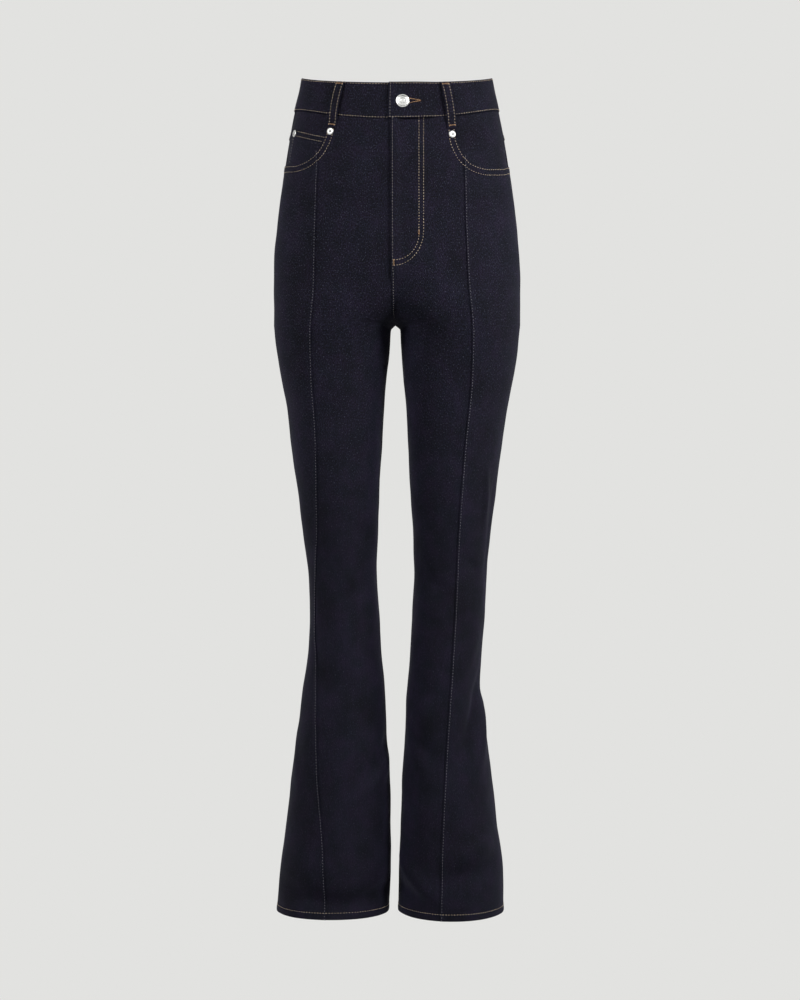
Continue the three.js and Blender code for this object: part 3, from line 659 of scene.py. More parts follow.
def mouth_line(leg, inside=0.0):
    """The pocket mouth's edge, or a line parallel to it inside the front, as turns and levels."""
    across = np.linspace(leg.mouth_across(BAND_DEPTH), leg.side(MOUTH_LEVEL) - 0.05, 260)
    down = leg.mouth(across)
    turns, arcs = flat_maps(leg)
    place = np.interp(turn_across(leg, down, across), turns, arcs)
    run, drop = np.gradient(place), np.gradient(down)
    length = np.hypot(run, drop)
    place, down = place - inside * drop / length, down + inside * run / length
    return np.interp(place, arcs, turns), down, place


def mouth_distance(leg, down, turn):
    """How far a place on the front is from the pocket mouth's edge."""
    turns, arcs = flat_maps(leg)
    _, edge_down, edge_place = mouth_line(leg)
    near = (down < 140) & (turn > 0)
    place = np.interp(turn[near], turns, arcs)
    level = down[near]
    distance = np.full(down.shape, 99.0)
    best = np.full(level.shape, 99.0)
    for i in range(0, len(edge_down) - 2, 2):
        ax, ay = edge_place[i], edge_down[i]
        bx, by = edge_place[i + 2] - ax, edge_down[i + 2] - ay
        t = np.clip(((place - ax) * bx + (level - ay) * by) / (bx * bx + by * by), 0, 1)
        best = np.minimum(best, np.hypot(place - ax - bx * t, level - ay - by * t))
    distance[near] = best
    return distance


def mouth_lift(leg, down, turn):
    """The mouth's hem is a band of double cloth, pressed in along its two rows, that stands a little open."""
    distance = mouth_distance(leg, down, turn)
    band = 0.55 * (1 - ease((distance - MOUTH_HEM + 0.9) / 1.5))
    rows = -ROW_DENT * sum(dent(distance - inside, 0.9) for inside in MOUTH_ROWS)
    open_ = 0.7 * dent(turn - math.radians(52), 0.28) * (1 - ease(distance / 12))
    return band + rows + open_


def front_centre(leg):
    """From the centre seam or the inseam to the pocket mouth, and below that to under the front seam."""
    def end(down):
        below = leg.seam(down) + TUCK * ease((down - leg.meet - 1) / 5)
        return turn_across(leg, down, np.where(down < leg.meet, leg.mouth_across(down), below))

    def lift(down, turn, left, right):
        inseam = seamed(left) * ease((down - CROTCH) / 6)
        under = np.where(down > leg.meet, lap(right, -0.45, 8), 0)
        total = inseam + under + mouth_lift(leg, down, turn) + hem_lift(leg, down, turn)
        if leg.sign < 0:
            return total + lap(left, -0.35, 8) * until(down, CROTCH, 4)
        fly = FLY_LIFT * until(down, FLY_END + 6, 22) * (1 - ease((left - 3) / 20))
        seam = lap(left, 1.2, 8) * (1 - until(down, FLY_END + 2, 16)) * (0.25 + 0.75 * until(down, 292, 20))
        row = -0.25 * dent(left - SEAM_ROW, 0.9) * until(down, CROTCH - 8)
        guard = 0.4 * until(down, FLY_END - 18, 14) * (1 - ease((left - 37) / 5)) * ease((left - 8) / 10)
        return total + fly + seam * until(down, CROTCH, 6) + row + guard + fly_edge(down, left)

    def fly_edge(down, left):
        """The fly's edge is turned under, so it is thicker."""
        return FLY_EDGE * (1 - ease((left - 5) / 9)) * until(down, FLY_END, 30)

    def thick(down, left):
        return panel_thickness(down) + (fly_edge(down, left) if leg.sign > 0 else 0)

    return panel(f"front_centre_{leg.name}", leg, partial(front_end, leg), end,
                 PANEL_BASE, lift, thick=thick)


def front_side(leg):
    """From the front seam, which it laps over, to the side seam, below the pocket mouth."""
    base = levels(leg.meet, (leg.meet + 3, 0.5), (leg.meet + 12, 0.9), (160, 2.4), (285, 3.2), (345, 2.2),
                  *to_hem(3.3, 1.6, 1.0))

    def level(down, turn):
        return down + (mouth_level(leg, turn) - leg.meet) * np.clip(1 - (down - leg.meet) / 60, 0, 1)

    def lift(down, turn, left, right):
        seam = lap(left, LAP, 8.5) - ROW_DENT * dent(left - SEAM_ROW, 0.8)
        edge = seam + seamed(right) + pucker(leg, down, left)
        return edge + mouth_lift(leg, down, turn) + hem_lift(leg, down, turn)

    return panel(f"front_side_{leg.name}", leg, lambda down: turn_across(leg, down, leg.seam(down)),
                 side_seam, base, lift, level, panel_thickness)


def pocket_facing(leg):
    """The cloth inside the pocket mouth, from under the front to the side seam."""
    inner = leg.mouth_across(BAND_DEPTH) - FACING_TUCK
    flat_end = leg.mouth_across(80)
    top = BAND_DEPTH - TUCK
    base = levels(top, (top + 90, 1.8))

    def level(down, turn):
        bottom = np.maximum(mouth_level(leg, turn), leg.mouth(flat_end)) + FACING_TUCK
        return mix(top, bottom, (down - top) / 90)

    def lift(down, turn, left, right):
        rise = 1 - ease((down - 84) / 18)
        lifted = FACING_LIFT + 1.85 * (1 - ease(right / 20)) * rise - lap(right, 0.6, 2.2) * rise
        if leg.sign < 0:
            return lifted
        near = dent(down - HOLLOW.down, HOLLOW.half_height) * dent(turn - HOLLOW.turn, HOLLOW.half_turn)
        return lifted - HOLLOW.depth * near

    return panel(f"pocket_facing_{leg.name}", leg, lambda down: turn_across(leg, down, inner + 0 * down),
                 side_seam, base, lift, level)


def coin_pocket():
    """The small pocket on the wearer's right facing, which runs on under the front."""
    leg = LEGS["right"]
    size = COIN_POCKET
    base = levels(0, (3, 0.5), (12, 1.1), (60, 2.2))
    start_level = 70.0

    def start(down):
        return turn_across(leg, start_level + 0 * down, size.across - 6 + 0 * down)

    def level(down, turn):
        u = (turn - start(down)) / (size.turn - start(down))
        bottom = mouth_level(leg, turn) + 8
        return mix(mix(size.inner + 1, size.outer, u), bottom, down / 60)

    def lift(down, turn, left, right):
        hem = down - mix(size.inner, size.outer, 0.5)
        rows = sum(dent(hem - inside, 0.8) for inside in COIN_ROWS) + dent(right - 1.8, 0.8)
        hug = ease(right / 14)
        fold = 0.35 * (1 - ease((hem - 8.5) / 1.5))
        return FACING_LIFT + PATCH_CLOTH - 0.1 + fold - 0.2 * rows + 0.2 * hug

    return panel("coin_pocket", leg, start, lambda down: size.turn + 0 * down, base, lift, level,
                 lambda down, left: PATCH_CLOTH + 0 * down, gap=2.4)


def yoke_level(turn):
    return yoke_seam(np.degrees(np.clip(turn, SIDE_SEAM, math.pi)))


def seat_lift(leg, down, right):
    """At the centre back the wearer's left side laps over the right; below the crotch the inseam is flat."""
    seat = until(down, 294, 20)
    groove = seamed(right) * (1 - seat)
    if leg.sign > 0:
        rows = twin_dents(right)
        return lap(right, LAP, 12) * seat - ROW_DENT * rows * seat + groove
    return lap(right, -0.4, 10) * seat + groove


def yoke(leg):
    """The shaped piece under the waistband at the back; it laps over the back."""
    top = BAND_DEPTH - TUCK
    base = levels(top, (top + 46, 2.6), (top + 57, 1.1), (top + 60, 0.5))

    def level(down, turn):
        return mix(top, yoke_level(turn), (down - top) / 60)

    def lift(down, turn, left, right):
        edge = yoke_level(turn) - down
        rows = twin_dents(edge)
        return (seat_lift(leg, down, right) + seamed(left)
                + lap(edge, LAP, 12) * ease(left / 5) - ROW_DENT * rows * ease(left / 5))

    return panel(f"yoke_{leg.name}", leg, side_seam, partial(back_end, leg), base, lift, level,
                 gap=3.6)


def back(leg):
    """From under the yoke to the hem, and from the side seam to the centre back seam or the inseam."""
    high = yoke_level(np.array(SIDE_SEAM)) - TUCK
    base = levels(high, (high + 4, 0.9), (160, 3.0), (280, 3.6), (345, 1.5), *to_hem(3.7, 1.8, 1.1))

    def level(down, turn):
        return down + (yoke_level(turn) - TUCK - high) * np.clip(1 - (down - high) / 90, 0, 1)

    def lift(down, turn, left, right):
        under = lap(down - yoke_level(turn) + TUCK, -0.45, 9)
        return seat_lift(leg, down, right) + seamed(left) + under + hem_lift(leg, down, turn)

    return panel(f"back_{leg.name}", leg, side_seam, partial(back_end, leg), base, lift, level,
                 panel_thickness, gap=4.0)


# A back pocket: inner and outer are distances from the centre back seam, and point is how far its tip drops.
BACK_POCKET = SimpleNamespace(top_inner=36, top_outer=178, bottom_inner=46, bottom_outer=168, inner_top=140,
                              outer_top=114, inner_bottom=266, outer_bottom=246, point=16)
POCKET_WIDTH = float(BACK_POCKET.top_outer - BACK_POCKET.top_inner)
POCKET_HEIGHT = float(BACK_POCKET.outer_bottom - BACK_POCKET.outer_top)
POCKET_HEM = 12.0              # the row across its top


def pocket_place(leg, u, v):
    """A place on a back pocket: u goes from its inner to its outer side, v from its top to its tip."""
    size = BACK_POCKET
    distance = mix(mix(size.top_inner, size.top_outer, u), mix(size.bottom_inner, size.bottom_outer, u), v)
    tip = size.point * (1 - np.sqrt((2 * u - 1) ** 2 + 0.0009))
    down = mix(mix(size.inner_top, size.outer_top, u), mix(size.inner_bottom, size.outer_bottom, u) + tip, v)
    centre = back_end(leg, down.ravel())
    turns, arcs = measured(leg, down.ravel(), centre, np.full(down.size, SIDE_SEAM - 0.25))
    turn = row_wise(distance.reshape(-1, 1), arcs, turns).reshape(down.shape)
    return down, turn


def pocket_lift(across, above, below):
    """A patch's height from its distances to its sides, its top and its bottom."""
    edge = np.minimum(across, below)
    rows = twin_dents(edge)
    hem = 0.3 * (1 - ease((above - POCKET_HEM - 0.5) / 1.5)) - 0.2 * dent(above - POCKET_HEM, 0.9)
    belly = 0.5 * ease(edge / 30) + 0.8 * ease(edge / 24) * (1 - ease(above / 20))
    return 0.15 + PATCH_CLOTH - ROW_DENT * rows + hem + belly


def back_pocket_points(leg):
    width, height = POCKET_WIDTH, POCKET_HEIGHT
    u = spread(np.array([width]), 3.4)[0] / width
    v = levels(0, (2, 0.5), (13.5, 1.1), (height - 12, 3.2), (height - 1.5, 1.1), (height, 0.4)) / height
    u, v = np.meshgrid(u, v)
    down, turn = pocket_place(leg, u, v)
    sides = np.minimum(u, 1 - u) * width
    lift = pocket_lift(sides, v * height, (1 - v) * height)
    drawn = rim(nearest(sides, v * height, (1 - v) * height), 0.42 * PATCH_CLOTH)
    outer = skin(leg, down, turn, lift - drawn)
    inner = skin(leg, down, turn, lift - PATCH_CLOTH + drawn)
    return outer, inner, (u - 0.5) * width, v * height


# --- The waistband and its loops
def band_skin(degrees, down, lift):
    """Round the whole waist: 0 is the centre front, 90 the wearer's left side, 180 the back."""
    degrees, down, lift = np.broadcast_arrays(degrees, down, lift)
    around = np.mod(degrees, 360)
    turn = np.radians(np.minimum(around, 360 - around))
    left = skin(LEGS["left"], down, turn, lift)
    right = skin(LEGS["right"], down, turn, lift)
    return np.where((around <= 180)[..., None], left, right)


def band_end(degrees):
    """The waistband's lapped end is folded in, so it is thicker."""
    return END_EXTRA * (1 - ease((degrees - END_STOP) / END_FADE))


def band_lift(degrees, down=21.0):
    over = OVER_LIFT * (1 - ease((degrees - LAP_STOP) / OVER_FADE))
    under = UNDER_DROP * ease((degrees - UNDER_START) / UNDER_FADE)
    waves = 0.18 * np.sin(degrees / 6.3 + down / 17) * np.sin(degrees / 17.1 + 2)
    rows = sum(dent(down - row, 0.9) for row in BAND_ROWS)
    return BAND_LIFT + over - under + band_end(degrees) + waves - ROW_DENT * rows


def band_points():
    ends = np.array([0, 0.25, 0.6, 1.1, 1.8, 2.6])
    degrees = np.concatenate((OVER_END + ends * 0.62, np.linspace(OVER_END + 2.2, UNDER_END - 2.2, 300),
                              UNDER_END - ends[::-1] * 0.62))
    down = levels(0, (0.6, 0.2), (3, 0.5), (BAND_DEPTH - 4, 2.4), (BAND_DEPTH - 0.6, 0.6), (BAND_DEPTH, 0.2))
    degrees, down = np.meshgrid(degrees, down)
    middle = band_skin(degrees[:1], 20.0, 0.0)[0]
    along = arc_lengths(middle)[None, :] + 0 * degrees
    edge = nearest(down, BAND_DEPTH - down, along, along[:, -1:] - along)
    drawn = rim(edge, 0.45 * BAND_CLOTH)
    lift = band_lift(degrees, down)
    outer = band_skin(degrees, down, lift - drawn)
    inner = band_skin(degrees, down, lift - BAND_CLOTH - band_end(degrees) + drawn)
    return outer, inner, along, down


# A loop's inner face stands off the panels like this, going down from the waist edge.
LOOP_PATH = table(("down", "lift"), [
    (0.5, 1.4), (6, 3.2), (16, 4.5), (30, 4.5), (44, 3.0), (53, 0.8), (60, 0.6),
])
LOOPS = table(("name", "leg", "top_turn", "bottom_turn"), [
    ("loop_front_left", "left", 27.3, 29.1),
    ("loop_front_right", "right", 32.2, 34.3),
    ("loop_side_left", "left", 128, 128),
    ("loop_side_right", "right", 128, 128),
    ("loop_back", "left", 180, 180),
])
loop_lift = curve(LOOP_PATH, "down", "lift")


def loop_skin(loop, down, side, stand):
    """A place on a loop: side is its distance from the middle line, stand its height over the inner face."""
    leg = LEGS[loop["leg"]]
    down, side, stand = np.broadcast_arrays(np.asarray(down, float), side, stand)
    share = (down - LOOP_PATH[0]["down"]) / (LOOP_PATH[-1]["down"] - LOOP_PATH[0]["down"])
    middle = np.radians(mix(loop["top_turn"], loop["bottom_turn"], share))
    step = 0.02
    around = smooth_point(leg, down, middle + step) - smooth_point(leg, down, middle - step)
    reach = np.linalg.norm(around, axis=-1)
    return skin(leg, down, middle + side * 2 * step / reach, loop_lift(down) + stand)


def loop_points(loop):
    side = LOOP_WIDTH * (np.array([
        0, 0.03, 0.08, 0.13, 0.18, 0.23, 0.35, 0.5, 0.65, 0.77, 0.82, 0.87, 0.92, 0.97, 1]) - 0.5)
    top, bottom = LOOP_PATH[0]["down"], LOOP_PATH[-1]["down"]
    down = levels(top, (top + 1.2, 0.3), (bottom - 1.2, 1.4), (bottom, 0.3))
    side, down = np.meshgrid(side, down)
    edge = nearest(LOOP_WIDTH / 2 - np.abs(side), down - top, bottom - down)
    drawn = rim(edge, 0.45 * LOOP_CLOTH)
    dents = ROW_DENT * dent(np.abs(side) - 4.0, 0.7)
    outer = loop_skin(loop, down, side, LOOP_CLOTH - drawn - dents)
    inner = loop_skin(loop, down, side, drawn)
    return outer, inner, side, down


# --- Materials
def srgb(code):
    """A hex colour as linear red, green, blue and alpha."""
    parts = [int(code[i:i + 2], 16) / 255 for i in (1, 3, 5)]
    return tuple(c / 12.92 if c <= 0.04045 else ((c + 0.055) / 1.055) ** 2.4 for c in parts) + (1.0,)


def add(tree, kind, inputs=None, **settings):
    """Adds a node with its settings; an input is a value, or a socket to link it to."""
    node = tree.nodes.new(kind)
    for name, value in settings.items():
        setattr(node, name, value)
    for name, value in (inputs or {}).items():
        if isinstance(value, bpy.types.NodeSocket):
            tree.links.new(value, node.inputs[name])
        else:
            node.inputs[name].default_value = value
    return node


def plus(tree, *values):
    return add(tree, "ShaderNodeMath", dict(enumerate(values)), operation="ADD").outputs[0]


def times(tree, *values):
    return add(tree, "ShaderNodeMath", dict(enumerate(values)), operation="MULTIPLY").outputs[0]


def new_material(name):
    material = bpy.data.materials.new(name)
    material.use_nodes = True
    tree = material.node_tree
    tree.nodes.clear()
    return material, tree


def finish_material(tree, shader):
    add(tree, "ShaderNodeOutputMaterial", {"Surface": shader.outputs[0]})


def coat(tree, colour, rough, relief, strength, distance, more):
    """Ends a material: relief is its bumps' height, at most distance metres, and more its other settings."""
    bump = add(tree, "ShaderNodeBump", {"Height": relief, "Strength": strength, "Distance": distance})
    finish_material(tree, add(tree, "ShaderNodeBsdfPrincipled", {
        "Base Color": colour, "Roughness": rough, "Normal": bump.outputs[0], **more}))


def blend(tree, factor, first, second, mode="MIX"):
    return add(tree, "ShaderNodeMix", {0: factor, 6: first, 7: second}, data_type="RGBA",
               blend_type=mode).outputs[2]


def ramp(tree, factor, low, high, least=0.0, most=1.0):
    """least below low, most above high."""
    return add(tree, "ShaderNodeMapRange", {
        "Value": factor, "From Min": low, "From Max": high, "To Min": least, "To Max": most}).outputs[0]


def woven(tree, size, detail=2.0, rough=0.5, offset=(0, 0, 0), source="UV"):
    """Soft noise whose grains are size millimetres, across and along the cloth's own grain."""
    place = (add(tree, "ShaderNodeUVMap", uv_map="Cut").outputs[0] if source == "UV"
             else add(tree, "ShaderNodeTexCoord").outputs["Object"])
    scale = tuple(1000 / part for part in size) + ((1.0,) if len(size) == 2 else ())
    mapped = add(tree, "ShaderNodeMapping", {"Vector": place, "Scale": scale, "Location": offset})
    return add(tree, "ShaderNodeTexNoise", {"Vector": mapped.outputs[0], "Scale": 1.0, "Detail": detail,
                                            "Roughness": rough}).outputs["Fac"]


def bands(tree, place, pitch, direction, more):
    """Even lines, pitch millimetres apart."""
    return add(tree, "ShaderNodeTexWave", {"Vector": place, "Scale": 1000 * math.pi / 10 / pitch, **more},
               wave_type="BANDS", bands_direction=direction).outputs["Fac"]


def twill(tree, pitch):
    """The raised diagonal lines of a twill, pitch millimetres apart."""
    place = add(tree, "ShaderNodeUVMap", uv_map="Cut").outputs[0]
    mapped = add(tree, "ShaderNodeMapping", {"Vector": place, "Rotation": (0, 0, math.radians(18))})
    uneven = {"Distortion": 0.6, "Detail": 1.0, "Detail Scale": 3.0}
    return bands(tree, mapped.outputs[0], pitch, "DIAGONAL", uneven)


# How strongly each yarn pattern shows the weft, from nothing below low to all of share above high.
GRAIN_LEAST = 0.4              # the grain never falls below this, and only crispness lowers what is above it
YARN_STREAKS = table(("pattern", "low", "high", "share"), [
    ("slub", 0.42, 0.7, 0.36),
    ("yarn", 0.5, 0.72, 0.25),
])
RELIEF = table(("pattern", "share"), [("slub", 0.7), ("yarn", 0.5)])


def denim(name, warp, weft, fleck, flecks=0.5, relief=1.0):
    """Right-hand twill of indigo warp over pale weft, rinsed: nearly black, matt, streaked along the legs by
    uneven yarns, with pinpoints of weft showing. The twill is drawn 1.6 mm apart, twice the real spacing. The
    grain and pinpoints are drawn 1.2 to 2.4 mm long, two to three times the real size."""
    material, tree = new_material(name)
    patterns = {"slub": woven(tree, (0.9, 34), 3.0, 0.6)}
    patterns["yarn"] = woven(tree, (0.7, 6), 2.0, 0.6, (7.1, 3.3, 0))
    grain = woven(tree, (1.35, 2.4), 3.0, 0.7, (5.3, 1.9, 0))
    speck = woven(tree, (1.2, 2.0), 1.0, 0.5, (2.7, 9.1, 0))
    cloud = woven(tree, (46, 70, 60), 2.0, 0.55, source="Object")
    patch = woven(tree, (17, 24, 22), 2.0, 0.5, (3.1, 0, 8.2), "Object")
    line = twill(tree, 1.6)
    # The grain is crisp round the hips and softens down the legs.
    place = add(tree, "ShaderNodeTexCoord").outputs["Object"]
    level = add(tree, "ShaderNodeSeparateXYZ", {0: place}).outputs["Z"]
    crisp = ramp(tree, level, -0.62, -0.3, 0.35, 1.0)
    shows = add(tree, "ShaderNodeMath", {0: ramp(tree, grain, 0.43, 0.62), 1: GRAIN_LEAST},
                operation="SUBTRACT").outputs[0]
    tone = blend(tree, plus(tree, times(tree, shows, crisp), GRAIN_LEAST), warp, weft)
    for row in YARN_STREAKS:
        streak = ramp(tree, patterns[row["pattern"]], row["low"], row["high"])
        tone = blend(tree, times(tree, streak, row["share"]), tone, weft)
    # Broad patches are darker or lighter, and redder or greener.
    broad = plus(tree, times(tree, cloud, 0.6), times(tree, patch, 0.4))
    shade = ramp(tree, broad, 0.32, 0.68, 0.56, 1.42)
    grey = add(tree, "ShaderNodeCombineColor", {0: shade, 1: shade, 2: shade}).outputs[0]
    tone = blend(tree, 1.0, tone, grey, "MULTIPLY")
    tint = blend(tree, ramp(tree, patch, 0.35, 0.65), (0.88, 1.07, 1.0, 1), (1.1, 0.95, 1.06, 1))
    tone = blend(tree, 1.0, tone, tint, "MULTIPLY")
    spots = times(tree, ramp(tree, speck, 0.64, 0.74), times(tree, crisp, flecks))
    tone = blend(tree, spots, tone, fleck)
    tone = blend(tree, times(tree, line, 0.22), tone, (0.002, 0.002, 0.004, 1))
    height = times(tree, line, 0.5)
    for row in RELIEF:
        height = plus(tree, height, times(tree, patterns[row["pattern"]], row["share"]))
    coat(tree, tone, ramp(tree, patterns["yarn"], 0.0, 1.0, 0.78, 0.95), height, 0.5, 0.00035 * relief, {
        "Specular IOR Level": 0.1, "Diffuse Roughness": 0.6, "Sheen Weight": 0.03, "Sheen Roughness": 0.5,
        "Sheen Tint": (0.55, 0.56, 0.8, 1)})
    return material


def thread_material(name, light, dark):
    """Corespun polyester sewing thread, twisted: a soft gloss, lighter on the turns of its twist."""
    material, tree = new_material(name)
    tone = woven(tree, (2.4, 2.4, 2.4), 1.0, source="Object")
    twist = woven(tree, (0.35, 0.35, 0.35), 1.0, source="Object")
    colour = blend(tree, ramp(tree, tone, 0.3, 0.7), dark, light)
    coat(tree, colour, 0.55, twist, 0.4, 0.0002, {"Specular IOR Level": 0.4})
    return material


def metal_material(name, colour, rough):
    """Nickel plate over stamped brass, polished: bright, with the fine turned marks of its tool."""
    material, tree = new_material(name)
    wear = woven(tree, (1.6, 1.6, 1.6), 3.0, source="Object")
    fine = woven(tree, (0.12, 0.12, 0.12), 1.0, source="Object")
    worn = tuple(part * 0.82 for part in colour[:3]) + (1.0,)
    tint = blend(tree, ramp(tree, wear, 0.35, 0.75), colour, worn)
    gloss = ramp(tree, wear, 0.3, 0.7, rough - 0.05, rough + 0.1)
    coat(tree, tint, gloss, fine, 0.15, 0.00005, {"Metallic": 1.0})
    return material


def tape_material(name, colour):
    """Woven polyester zip tape: a close rib across its width."""
    material, tree = new_material(name)
    rib = bands(tree, add(tree, "ShaderNodeTexCoord").outputs["Object"], 1.2, "Z", {"Distortion": 0.2})
    tone = blend(tree, times(tree, rib, 0.5), colour, (0.004, 0.004, 0.007, 1))
    coat(tree, tone, 0.75, rib, 0.5, 0.0002, {})
    return material


def material(name):
    """A material of this garment, made the first time it is asked for."""
    if name in bpy.data.materials:
        return bpy.data.materials[name]
    finish = bpy.context.scene.jeans_finish
    warp, weft, thread = (tuple(colour) + (1,) for colour in (finish.warp, finish.weft, finish.thread))
    makers = {
        "Rinsed indigo denim": (denim, warp, weft, srgb("#66687e")),
        "Denim wrong side": (denim, srgb("#2c2f3c"), srgb("#424654"), srgb("#70737f"), 0.8, 1.2),
        "Tan topstitching thread": (thread_material, thread, srgb("#ab9880")),
        "Grey-tan seam thread": (thread_material, srgb("#8c8887"), srgb("#6d6969")),
        "Slate seam thread": (thread_material, srgb("#76757f"), srgb("#5b5a64")),
        "Orange bartack thread": (thread_material, srgb("#d6ab80"), srgb("#b08056")),
        "Polished nickel plate": (metal_material, srgb("#f1f1ef"), 0.25),
        "Dull nickel plate": (metal_material, srgb("#ccccca"), 0.42),
        # Painted shade: a nearly black nickel for the button's groove and face dip, and the hollow round each
        # rivet's burr.
        "Blackened nickel": (metal_material, srgb("#3c3d40"), 0.4),
        "Woven zip tape": (tape_material, srgb("#20222c")),
    }
    maker, *settings = makers[name]
    return maker(name, *settings)


# --- Stitching: lines of points become separate stitches or close tacks through Geometry Nodes
def tree_start(name, sizes):
    """An empty tree with a geometry input and output, and a named input for each size."""
    tree = bpy.data.node_groups.new(name, "GeometryNodeTree")
    face = tree.interface
    face.new_socket("Geometry", in_out="INPUT", socket_type="NodeSocketGeometry")
    for label, (kind, value) in sizes.items():
        socket = face.new_socket(label, in_out="INPUT", socket_type=kind)
        if value is not None:
            socket.default_value = value
    face.new_socket("Geometry", in_out="OUTPUT", socket_type="NodeSocketGeometry")
    return tree, add(tree, "NodeGroupInput").outputs


def tree_end(tree, geometry, thread):
    """Makes what was instanced real, gives it its material and puts it out."""
    real = add(tree, "GeometryNodeRealizeInstances", {"Geometry": geometry})
    done = add(tree, "GeometryNodeSetMaterial", {"Geometry": real.outputs[0], "Material": thread})
    add(tree, "NodeGroupOutput", {0: done.outputs[0]})


def topstitch_tree():
    """Separate stitches of thread laid end to end along each line, a little uneven."""
    tree, given = tree_start("Topstitch Rows", {
        "Stitch Length": ("NodeSocketFloat", 0.0017), "Gap": ("NodeSocketFloat", 0.00195),
        "Thread Diameter": ("NodeSocketFloat", 0.0008), "Seed": ("NodeSocketInt", 4),
        "Thread": ("NodeSocketMaterial", None)})
    pitch = plus(tree, given["Stitch Length"], given["Gap"])
    lines = add(tree, "GeometryNodeMeshToCurve", {"Mesh": given["Geometry"]})
    spaced = add(tree, "GeometryNodeResampleCurve", {"Curve": lines.outputs[0], "Length": pitch},
                 mode="LENGTH")
    bead = add(tree, "GeometryNodeMeshUVSphere", {"Segments": 6, "Rings": 5, "Radius": 0.5})
    smooth = add(tree, "GeometryNodeSetShadeSmooth", {"Geometry": bead.outputs[0]})
    turned = add(tree, "FunctionNodeAlignRotationToVector",
                 {"Vector": add(tree, "GeometryNodeInputTangent").outputs[0]}, axis="Z")
    uneven = add(tree, "FunctionNodeRandomValue", {"Min": 0.92, "Max": 1.06, "Seed": given["Seed"]},
                 data_type="FLOAT")
    long_ = times(tree, given["Stitch Length"], uneven.outputs[1])
    thick = given["Thread Diameter"]
    size = add(tree, "ShaderNodeCombineXYZ", {0: thick, 1: thick, 2: long_})
    laid = add(tree, "GeometryNodeInstanceOnPoints", {
        "Points": spaced.outputs[0], "Instance": smooth.outputs[0], "Rotation": turned.outputs[0],
        "Scale": size.outputs[0]})
    tree_end(tree, laid.outputs[0], given["Thread"])
    return tree


def tack_tree():
    """An unbroken thread that follows each line."""
    tree, given = tree_start("Tack Thread", {
        "Thread Diameter": ("NodeSocketFloat", 0.0006), "Thread": ("NodeSocketMaterial", None)})
    lines = add(tree, "GeometryNodeMeshToCurve", {"Mesh": given["Geometry"]})
    radius = times(tree, given["Thread Diameter"], 0.5)
    ring = add(tree, "GeometryNodeCurvePrimitiveCircle", {"Resolution": 6, "Radius": radius})
    tube = add(tree, "GeometryNodeCurveToMesh", {"Curve": lines.outputs[0], "Profile Curve": ring.outputs[0],
                                                 "Fill Caps": True})
    smooth = add(tree, "GeometryNodeSetShadeSmooth", {"Geometry": tube.outputs[0]})
    tree_end(tree, smooth.outputs[0], given["Thread"])
    return tree


def sewn(name, lines, tree, values):
    """Runs a tree over lines of points, in millimetres, and keeps the result as a plain mesh."""
    points = np.concatenate(lines) * MM
    edges, first = [], 0
    for line in lines:
        edges.extend((i, i + 1) for i in range(first, first + len(line) - 1))
        first += len(line)
    draft_mesh = bpy.data.meshes.new(name + ".lines")
    draft_mesh.from_pydata(points.tolist(), edges, [])
    draft = new_piece(name + ".lines", draft_mesh)
    modifier = draft.modifiers.new("Sewing", "NODES")
    modifier.node_group = tree
    for item in tree.interface.items_tree:
        if item.item_type == "SOCKET" and item.in_out == "INPUT" and item.name in values:
            modifier[item.identifier] = values[item.name]
    graph = bpy.context.evaluated_depsgraph_get()
    mesh = bpy.data.meshes.new_from_object(draft.evaluated_get(graph), depsgraph=graph)
    mesh.name = name
    bpy.data.objects.remove(draft)
    bpy.data.meshes.remove(draft_mesh)
    return new_piece(name, mesh)


def stitched(name, lines, thread, diameter=1.0):
    finish = bpy.context.scene.jeans_finish
    tree = bpy.data.node_groups.get("Topstitch Rows") or topstitch_tree()
    piece = sewn(name, lines, tree, {
        "Stitch Length": finish.stitch_length, "Gap": finish.stitch_gap,
        "Thread Diameter": finish.thread_diameter * diameter, "Seed": 4, "Thread": material(thread)})
    entered(piece)


def tacked(name, lines, thread):
    tree = bpy.data.node_groups.get("Tack Thread") or tack_tree()
    piece = sewn(name, lines, tree, {
        "Thread Diameter": bpy.context.scene.jeans_finish.thread_diameter * 0.62, "Thread": material(thread)})
    entered(piece)


def zigzag(place, length, width, pitch=0.55):
    """A close zigzag: place(along, aside) gives a point, along from 0 to length."""
    turns = max(4, round(length / pitch))
    along = np.linspace(0, length, turns + 1)
    aside = width / 2 * np.where(np.arange(turns + 1) % 2, 1, -1)
    return place(along, aside)


# --- Placing what stands on the cloth
def standing(leg, down, turn, lift):
    """The point on the cloth and its outward direction."""
    foot = skin(leg, np.array(float(down)), np.array(float(turn)), lift)
    tip = skin(leg, np.array(float(down)), np.array(float(turn)), lift + 1)
    return Vector(foot), Vector(tip - foot).normalized()


def lathe_object(name, profile, foot, outward, materials, dark_rings=(), segments=64):
    """Turns a profile of (radius, height) rows round an axis. The rows listed get the second material, a dark
    nickel that is painted shade in the hollows.
    """
    axis = outward.to_track_quat("Z", "Y")
    points = []
    for radius, height in profile:
        for k in range(segments):
            angle = 2 * math.pi * k / segments
            spot = axis @ Vector((radius * math.cos(angle), radius * math.sin(angle), height)) + foot
            points.append(spot * MM)
    last = (len(profile) - 1) * segments
    faces = ring_faces(len(profile), segments)
    faces += [tuple(reversed(range(segments))), tuple(range(last, last + segments))]
    slots = [int(k // segments in dark_rings) for k in range(last)] + [0, 0]
    mesh = bpy.data.meshes.new(name)
    mesh.from_pydata(points, [], faces)
    for item in materials:
        mesh.materials.append(item)
    mesh.polygons.foreach_set("material_index", slots)
    mesh.shade_smooth()
    return new_piece(name, mesh)


# --- Settings that a user would change
def length_property(label, description, default, low, high):
    return FloatProperty(name=label, description=description, default=default, min=low, max=high,
                         subtype="DISTANCE", unit="LENGTH")


